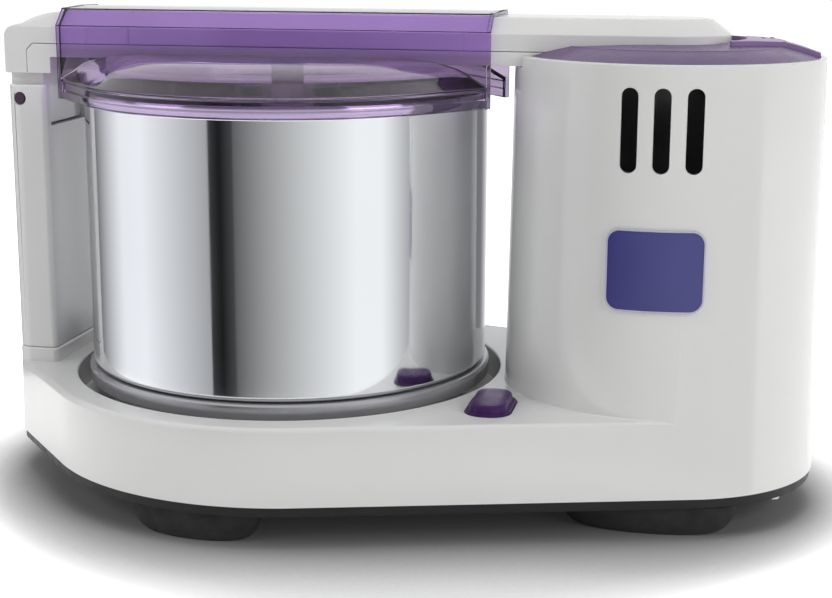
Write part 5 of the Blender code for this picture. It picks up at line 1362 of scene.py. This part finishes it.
def release_outline():
    """The release button in plan: behind its front seam, from the arm's nose past the cap's edge."""
    nose_middle = ARM_NOSE_X - ARM_HALF_Y
    half_x = TOWER_HALF_X + OVERRUN
    half_y = TOWER_HALF_Y + OVERRUN
    outer = []
    inner = []
    for k in range(SMALL_STEPS + 1):
        share = k / SMALL_STEPS
        angle = math.radians(RELEASE_OUTER_START + (RELEASE_OUTER_END - RELEASE_OUTER_START) * share)
        outer.append(Vector((TOWER_X + half_x * math.cos(angle), half_y * math.sin(angle))))
        angle = math.radians(RELEASE_HALF_ANGLE * (1 - 2 * share))
        across, back = RELEASE_INNER_R * math.cos(angle), RELEASE_INNER_R * math.sin(angle)
        inner.append(Vector((nose_middle + across, back)))
    return outer + inner + smooth_knots(RELEASE_SEAM)


def shrink(points, amount):
    """Moves each corner of a closed outline inwards by amount."""
    count = len(points)
    result = []
    for k, here in enumerate(points):
        before = (here - points[k - 1]).normalized()
        after = (points[(k + 1) % count] - here).normalized()
        left_before = Vector((-before.y, before.x))
        left_after = Vector((-after.y, after.x))
        middle = (left_before + left_after).normalized()
        result.append(here + middle * (amount / middle.dot(left_after)))
    return result


def release_prism(name, inset, low, high):
    points = shrink(release_outline(), inset)
    return loft(name, [[(p.x, p.y, z) for p in points] for z in (low, high)])


def cap(material):
    piece = cap_dome("cap", 0.0, CAP_LOW_Z, 0.0, material)
    under = cap_dome("cap_under", CAP_WALL, CAP_LOW_Z - OVERRUN, CAP_WALL)
    tray_low = CHANNEL_FLOOR_Z - CAP_WALL
    tray_grow = CHANNEL_SIDE_GAP + CAP_WALL
    cut(under, arm_plate("cap_tray", ARM_LEFT_X, -tray_grow, tray_low, ARM_TOP_Z))
    cut(piece, under)
    cut(piece, arm_plate("cap_channel", ARM_LEFT_X, -CHANNEL_SIDE_GAP, CHANNEL_FLOOR_Z, ARM_TOP_Z))
    cut(piece, release_prism("release_hole", 0.0, CAP_LOW_Z - OVERRUN, ARM_TOP_Z))
    return rounded(piece, 0.0)


def release(material):
    piece = cap_dome("release", 0.0, RELEASE_LOW_Z, -RELEASE_RISE, material)
    low = RELEASE_LOW_Z - OVERRUN
    keep_common(piece, release_prism("release_shape", RELEASE_SIDE_GAP, low, ARM_TOP_Z))
    return rounded(piece, 0.0)


def release_dots(piece, material):
    """Four small dark dots on the release button."""
    mesh = piece.data
    surface = BVHTree.FromPolygons([v.co for v in mesh.vertices], [face.vertices for face in mesh.polygons])
    profile = [(0.0, -DOT_RISE), (DOT_R, -DOT_RISE), (DOT_R, 0.0)]
    profile += [(DOT_R * 0.8, DOT_RISE), (0.0, DOT_RISE * 1.2)]
    for number, (x, y) in enumerate(DOT_SPOTS):
        spot, normal, _, _ = surface.ray_cast(Vector((x, y, ARM_TOP_Z)), Vector((0.0, 0.0, -1.0)))
        dot = turned(f"release_dot_{number + 1}", profile, material, SMALL_STEPS)
        turn = normal.to_track_quat("Z", "Y").to_matrix().to_4x4()
        dot.data.transform(Matrix.Translation(spot) @ turn)
        dressed(rounded(dot, 0.0), "release_button", "purple_plastic")


# Stage, lamps and camera

CAMERA_AZIMUTH = -73.9
CAMERA_SPOT = (0.189998, -0.896760, 0.305677)
CAMERA_TURN = (11.728, 12.492, 0.197)
CAMERA_LENS = 72.10
CAMERA_SENSOR = 36.0
# Cards round the drum that glow only in reflections: painted reflections, graded dark and bright bands on the
# drum's and the plastics' gloss.
CARD_R = 0.34
CARD_HEIGHT = 0.24
CARD_STEP = 2.0
CARD_TINT = (0.985, 1.0, 1.03)
# Each card's painted reflection tones, as (degrees from the camera's azimuth, level).
PAINTED_REFLECTION_CARDS = {
    "card_left": ((-165, 0.08), (-122, 0.13), (-92, 0.93), (-76, 0.96), (-37.4, 0.40)),
    "painted_reflection_dark": ((-37.4, 0.045), (-32, 0.010), (-25.5, 0.065)),
    "painted_reflection_front": ((-25.5, 0.12), (31, 1.0), (44, 1.0), (60, 0.42)),
    "painted_reflection_rear": ((96, 0.12), (128, 0.20), (148, 0.90), (168, 0.90), (195, 0.10)),
}
FLOOR_HALF = 6
FLOOR_TONE = 0.95
FLOOR_ROUGHNESS = 0.9
FLOOR_SHARE = (1.4, 1.5, 0.0)
FLOOR_REACH = 3.0
# Floor glow by oval distance for camera, glossy and transmission rays: low round the object as a painted
# shadow, rising to white far off.
FLOOR_GLOW_WITH_PAINTED_SHADOW = ((0.06, 0.05), (0.092, 0.04), (0.104, 0.22), (0.114, 0.70), (0.124, 0.90), (0.20, 0.97),
               (1.0, 1.0))
CONTACT_REACH = 0.10
CONTACT_SAMPLES = 16
# Floor colour for camera rays by ambient occlusion: a painted contact shadow.
PAINTED_CONTACT_SHADOW_TONES = ((0.50, 0.25), (0.78, 0.60), (0.90, 1.0))
WORLD_LEVEL = 0.09
WHITE_RAYS = ("Is Camera Ray", "Is Glossy Ray", "Is Transmission Ray")
LAMP_TARGET = (0.0, 0.0, 0.12)
LAMPS = (
    ("right", (1.8, -0.9, 0.9), (1.2, 1.2), 20.0),
    ("left", (-1.5, -0.9, 0.9), (1.0, 1.2), 11.0),
    ("side", (-1.9, 0.2, 0.8), (1.0, 1.0), 5.0),
    ("back", (0.0, 1.0, 1.7), (1.6, 1.2), 7.0),
    ("top", (0.2, -0.4, 2.0), (1.6, 1.2), 9.5),
)


def seen_share(tree, *kinds):
    """One for the named kinds of ray and nought for the others."""
    rays = tree.add("ShaderNodeLightPath")
    share = rays.outputs[kinds[0]]
    for kind in kinds[1:]:
        share = tree.math("MAXIMUM", share, rays.outputs[kind])
    return share


def card(name, tones):
    """A standing card round the drum that glows in tones graded from side to side, which only reflections
    show: a painted reflection of dark and bright bands.
    """
    start, end = tones[0][0], tones[-1][0]
    count = round((end - start) / CARD_STEP)
    points = []
    for step in range(count + 1):
        angle = math.radians(CAMERA_AZIMUTH + start + (end - start) * step / count)
        x, y = DRUM_X + CARD_R * math.cos(angle), CARD_R * math.sin(angle)
        points += [(x, y, 0.0), (x, y, CARD_HEIGHT)]
    mesh = bpy.data.meshes.new(name)
    mesh.from_pydata(points, [], [(2 * k, 2 * k + 2, 2 * k + 3, 2 * k + 1) for k in range(count)])
    sheet = bpy.data.objects.new(name, mesh)
    bpy.context.scene.collection.objects.link(sheet)
    material, tree, shader = new_material(name)
    tree.tree.nodes.remove(shader)
    shift = tree.add("ShaderNodeVectorMath", {1: DRUM_AXIS}, operation="SUBTRACT")
    tree.link(tree.place(), shift.inputs[0])
    parts = tree.add("ShaderNodeSeparateXYZ")
    tree.link(shift.outputs["Vector"], parts.inputs["Vector"])
    turns = tree.math("DIVIDE", tree.math("ARCTAN2", parts.outputs["Y"], parts.outputs["X"]), 2 * math.pi)
    share = tree.math("FRACT", tree.math("SUBTRACT", turns, (CAMERA_AZIMUTH + start) / 360))
    stops = []
    for degrees, level in tones:
        stops.append(((degrees - start) / 360, tuple(min(1.0, level * part) for part in CARD_TINT)))
    glow = tree.add("ShaderNodeEmission")
    tree.link(tree.ramp(share, stops), glow.inputs["Color"])
    inner = tree.add("ShaderNodeMixShader")
    tree.link(tree.add("ShaderNodeNewGeometry").outputs["Backfacing"], inner.inputs["Fac"])
    tree.link(tree.add("ShaderNodeBsdfTransparent").outputs["BSDF"], inner.inputs[1])
    tree.link(glow.outputs["Emission"], inner.inputs[2])
    tree.surface(inner.outputs["Shader"])
    mesh.materials.append(material)
    sheet.visible_camera = False
    sheet.visible_diffuse = False
    sheet.visible_transmission = False
    sheet.visible_shadow = False


def stage():
    """The white floor, with the object's cast shadow deepened by a painted shadow under the object that fades
    out to the sides, and the cards.
    """
    corners = [(-1, -1), (1, -1), (1, 1), (-1, 1)]
    floor = solid("floor", [(FLOOR_HALF * x, FLOOR_HALF * y, 0) for x, y in corners], [(0, 1, 2, 3)])
    material, tree, shader = new_material("floor")
    shader.inputs["Roughness"].default_value = FLOOR_ROUGHNESS
    shader.inputs["Specular IOR Level"].default_value = 0.0
    shares = [share / FLOOR_REACH for share in FLOOR_SHARE]
    oval = tree.add("ShaderNodeVectorMath", {1: shares}, operation="MULTIPLY")
    tree.link(tree.add("ShaderNodeNewGeometry").outputs["Position"], oval.inputs[0])
    length = tree.add("ShaderNodeVectorMath", operation="LENGTH")
    tree.link(oval.outputs["Vector"], length.inputs[0])
    # Glow kept low round the object: painted shadow.
    glow_with_painted_shadow = tree.ramp(length.outputs["Value"], [(place, grey(level)) for place, level in FLOOR_GLOW_WITH_PAINTED_SHADOW])
    contact_inputs = {"Distance": CONTACT_REACH}
    contact = tree.add("ShaderNodeAmbientOcclusion", contact_inputs, samples=CONTACT_SAMPLES)
    # Ambient occlusion darkens the floor's colour for camera rays and its glow: painted contact shadow.
    painted_contact_shadow = tree.ramp(contact.outputs["AO"], [(place, grey(level)) for place, level in PAINTED_CONTACT_SHADOW_TONES])
    tone = tree.mix(seen_share(tree, "Is Camera Ray"), grey(FLOOR_TONE), painted_contact_shadow)
    tree.link(tone, shader.inputs["Base Color"])
    shown = seen_share(tree, *WHITE_RAYS)
    lift = tree.add("ShaderNodeEmission")
    tree.link(tree.math("MULTIPLY", tree.math("MULTIPLY", shown, glow_with_painted_shadow), painted_contact_shadow), lift.inputs["Strength"])
    both = tree.add("ShaderNodeAddShader")
    tree.link(shader.outputs["BSDF"], both.inputs[0])
    tree.link(lift.outputs["Emission"], both.inputs[1])
    tree.surface(both.outputs["Shader"])
    floor.data.materials.append(material)
    for name, tones in PAINTED_REFLECTION_CARDS.items():
        card(name, tones)


def world():
    sky = bpy.data.worlds.new("studio")
    bpy.context.scene.world = sky
    sky.use_nodes = True
    sky.node_tree.nodes.clear()
    tree = Tree(sky.node_tree)
    light = tree.add("ShaderNodeBackground")
    white = tree.mix(seen_share(tree, *WHITE_RAYS), grey(WORLD_LEVEL), grey(1.0))
    tree.link(white, light.inputs["Color"])
    tree.link(light.outputs["Background"], tree.add("ShaderNodeOutputWorld").inputs["Surface"])


def lamp(name, spot, size, power):
    data = bpy.data.lights.new(name, "AREA")
    data.shape = "RECTANGLE"
    data.size, data.size_y = size
    data.energy = power
    thing = bpy.data.objects.new(name, data)
    thing.location = spot
    thing.rotation_euler = (Vector(LAMP_TARGET) - Vector(spot)).to_track_quat("-Z", "Y").to_euler()
    thing.visible_glossy = False
    bpy.context.scene.collection.objects.link(thing)


def camera():
    data = bpy.data.cameras.new("camera")
    data.lens = CAMERA_LENS
    data.sensor_width = CAMERA_SENSOR
    thing = bpy.data.objects.new("camera", data)
    yaw, pitch, roll = (math.radians(angle) for angle in CAMERA_TURN)
    ahead = Vector((-math.sin(yaw) * math.cos(pitch), math.cos(yaw) * math.cos(pitch), -math.sin(pitch)))
    level = Vector((math.cos(yaw), math.sin(yaw), 0.0))
    upward = level.cross(ahead)
    right = level * math.cos(roll) + upward * math.sin(roll)
    top = -level * math.sin(roll) + upward * math.cos(roll)
    matrix = Matrix((right, top, -ahead)).transposed().to_4x4()
    thing.matrix_world = Matrix.Translation(CAMERA_SPOT) @ matrix
    bpy.context.scene.collection.objects.link(thing)
    bpy.context.scene.camera = thing


FINE = {"bump": 0.02, "bump_scale": 420.0}
WHITE = finish("white_plastic", (0.80, 0.80, 0.79), 0.20, tone=0.012, tone_scale=14.0, rough_spread=0.04,
               bump=0.03, bump_scale=420.0, coat=0.25)
PURPLE = finish("purple_plastic", (0.125, 0.070, 0.185), 0.30, tone=0.04, specular=0.25, **FINE)
LILAC = finish("lilac_plastic", (0.30, 0.20, 0.40), 0.30, tone=0.04, specular=0.25, **FINE)
DEEP = finish("deep_purple_plastic", (0.050, 0.014, 0.095), 0.30, tone=0.05, specular=0.22, **FINE)
PIN = finish("dark_purple_plastic", (0.045, 0.015, 0.04), 0.35, tone=0.06)
CLEAR = clear_finish("clear_purple", LID_TINTS_AND_PAINTED_SHADE, 0.02)
BADGE = finish("badge_blue", (0.035, 0.035, 0.22), 0.22, tone=0.05, rough_spread=0.04, bump=0.02, coat=0.4)
BADGE_EDGE = finish("badge_rim", (0.55, 0.53, 0.68), 0.25, tone=0.02, bump=0.02)
BLACK = finish("black_plastic", (0.011, 0.011, 0.012), 0.45, tone=0.10, rough_spread=0.08, bump=0.25,
               bump_scale=1400.0, specular=0.3)
GREY = finish("grey_plastic", (0.40, 0.40, 0.42), 0.20, 0.6, tone=0.05, bump=0.02, coat=0.3)
RUBBER = finish("black_rubber", (0.010, 0.010, 0.010), 0.75, tone=0.12, rough_spread=0.10, bump=0.4,
                bump_scale=1600.0)
TURNED = finish("turned_steel", (0.55, 0.56, 0.58), 0.30, 1.0, tone=0.06, rough_spread=0.08, bump=0.10,
                bump_scale=160.0, stretch=(1.0, 1.0, 14.0))
POLISHED = finish("polished_steel", (0.86, 0.87, 0.89), 0.075, 1.0, tone=0.012, tone_scale=9.0,
                  rough_spread=0.02, bump=0.004, bump_scale=60.0)
ALUMINIUM = finish("cast_aluminium", (0.60, 0.61, 0.62), 0.45, 1.0, tone=0.08, rough_spread=0.10, bump=0.35,
                   bump_scale=900.0)
IRON = finish("motor_iron", (0.14, 0.15, 0.16), 0.55, 0.6, tone=0.15, rough_spread=0.10, bump=0.4,
              bump_scale=60.0, stretch=(1.0, 1.0, 30.0))
FOOD = finish("food_plastic", (0.66, 0.66, 0.63), 0.38, rough_spread=0.08, bump=0.10, bump_scale=900.0)
GRANITE = granite_finish()

NODE_FINISHES = {
    "white_plastic": WHITE, "purple_plastic": PURPLE, "dark_purple_plastic": PIN, "clear_purple": CLEAR,
    "badge_blue": BADGE, "black_plastic": BLACK, "grey_plastic": GREY, "black_rubber": RUBBER,
    "turned_steel": TURNED, "polished_steel": POLISHED, "cast_aluminium": ALUMINIUM, "motor_iron": IRON,
    "food_plastic": FOOD, "granite": GRANITE,
}

dressed(housing(WHITE), "base", "white_plastic", "main_housing")
dressed(base_tray(BLACK), "base", "black_plastic", "base_plate")
feet(RUBBER)
badge(BADGE, BADGE_EDGE)
dressed(cord_gland(RUBBER), "base", "black_rubber", "cord_gland")
dressed(post(WHITE), "base", "white_plastic", "arm_post")
dressed(hinge_pin(PIN), "base", "dark_purple_plastic", "hinge_pin")
dressed(arm_top(WHITE), "arm", "white_plastic", "arm_shell")
dressed(arm_under(WHITE), "arm", "white_plastic", "arm_cover")
coil = dressed(spring(TURNED), "arm", "turned_steel", "plunger_spring")
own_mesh(coil)
dressed(lid(CLEAR), "lid", "clear_purple", "drum_lid")
dressed(drum(POLISHED), "drum", "polished_steel", "drum")
dressed(drum_foot(GREY), "drum", "grey_plastic", "drum_base")
dressed(bed_stone(GRANITE), "drum", "granite", "bed_stone")
dressed(drum_post(TURNED), "drum", "turned_steel", "drum_shaft")
for side, word in ((-1, "front"), (1, "rear")):
    dressed(roller(f"stone_{word}", side, GRANITE), f"roller_{word}", "granite", f"roller_stone_{word}")
    dressed(axle(f"axle_{word}", side, POLISHED), "base", "polished_steel", f"roller_axle_{word}")
dressed(carrier(FOOD), "base", "food_plastic", "stone_carrier")
dressed(cap(PURPLE), "base", "purple_plastic", "tower_cap")
dressed(button(DEEP), "power_button", "purple_plastic", "power_button")
release_piece = release(LILAC)
release_dots(release_piece, DEEP)
dressed(release_piece, "release_button", "purple_plastic", "release_button")

smooth = smoothed_group()
for node in frame["nodes"].values():
    if node.hide_render:
        continue
    slot_name = node.material_slots[0].material.name.split(".")[0]
    node.material_slots[0].material = NODE_FINISHES[slot_name]
    node.modifiers.new("Smooth", "NODES").node_group = smooth

stage()
world()
for each_lamp in LAMPS:
    lamp(*each_lamp)
camera()
bpy.context.scene.view_settings.view_transform = "Standard"
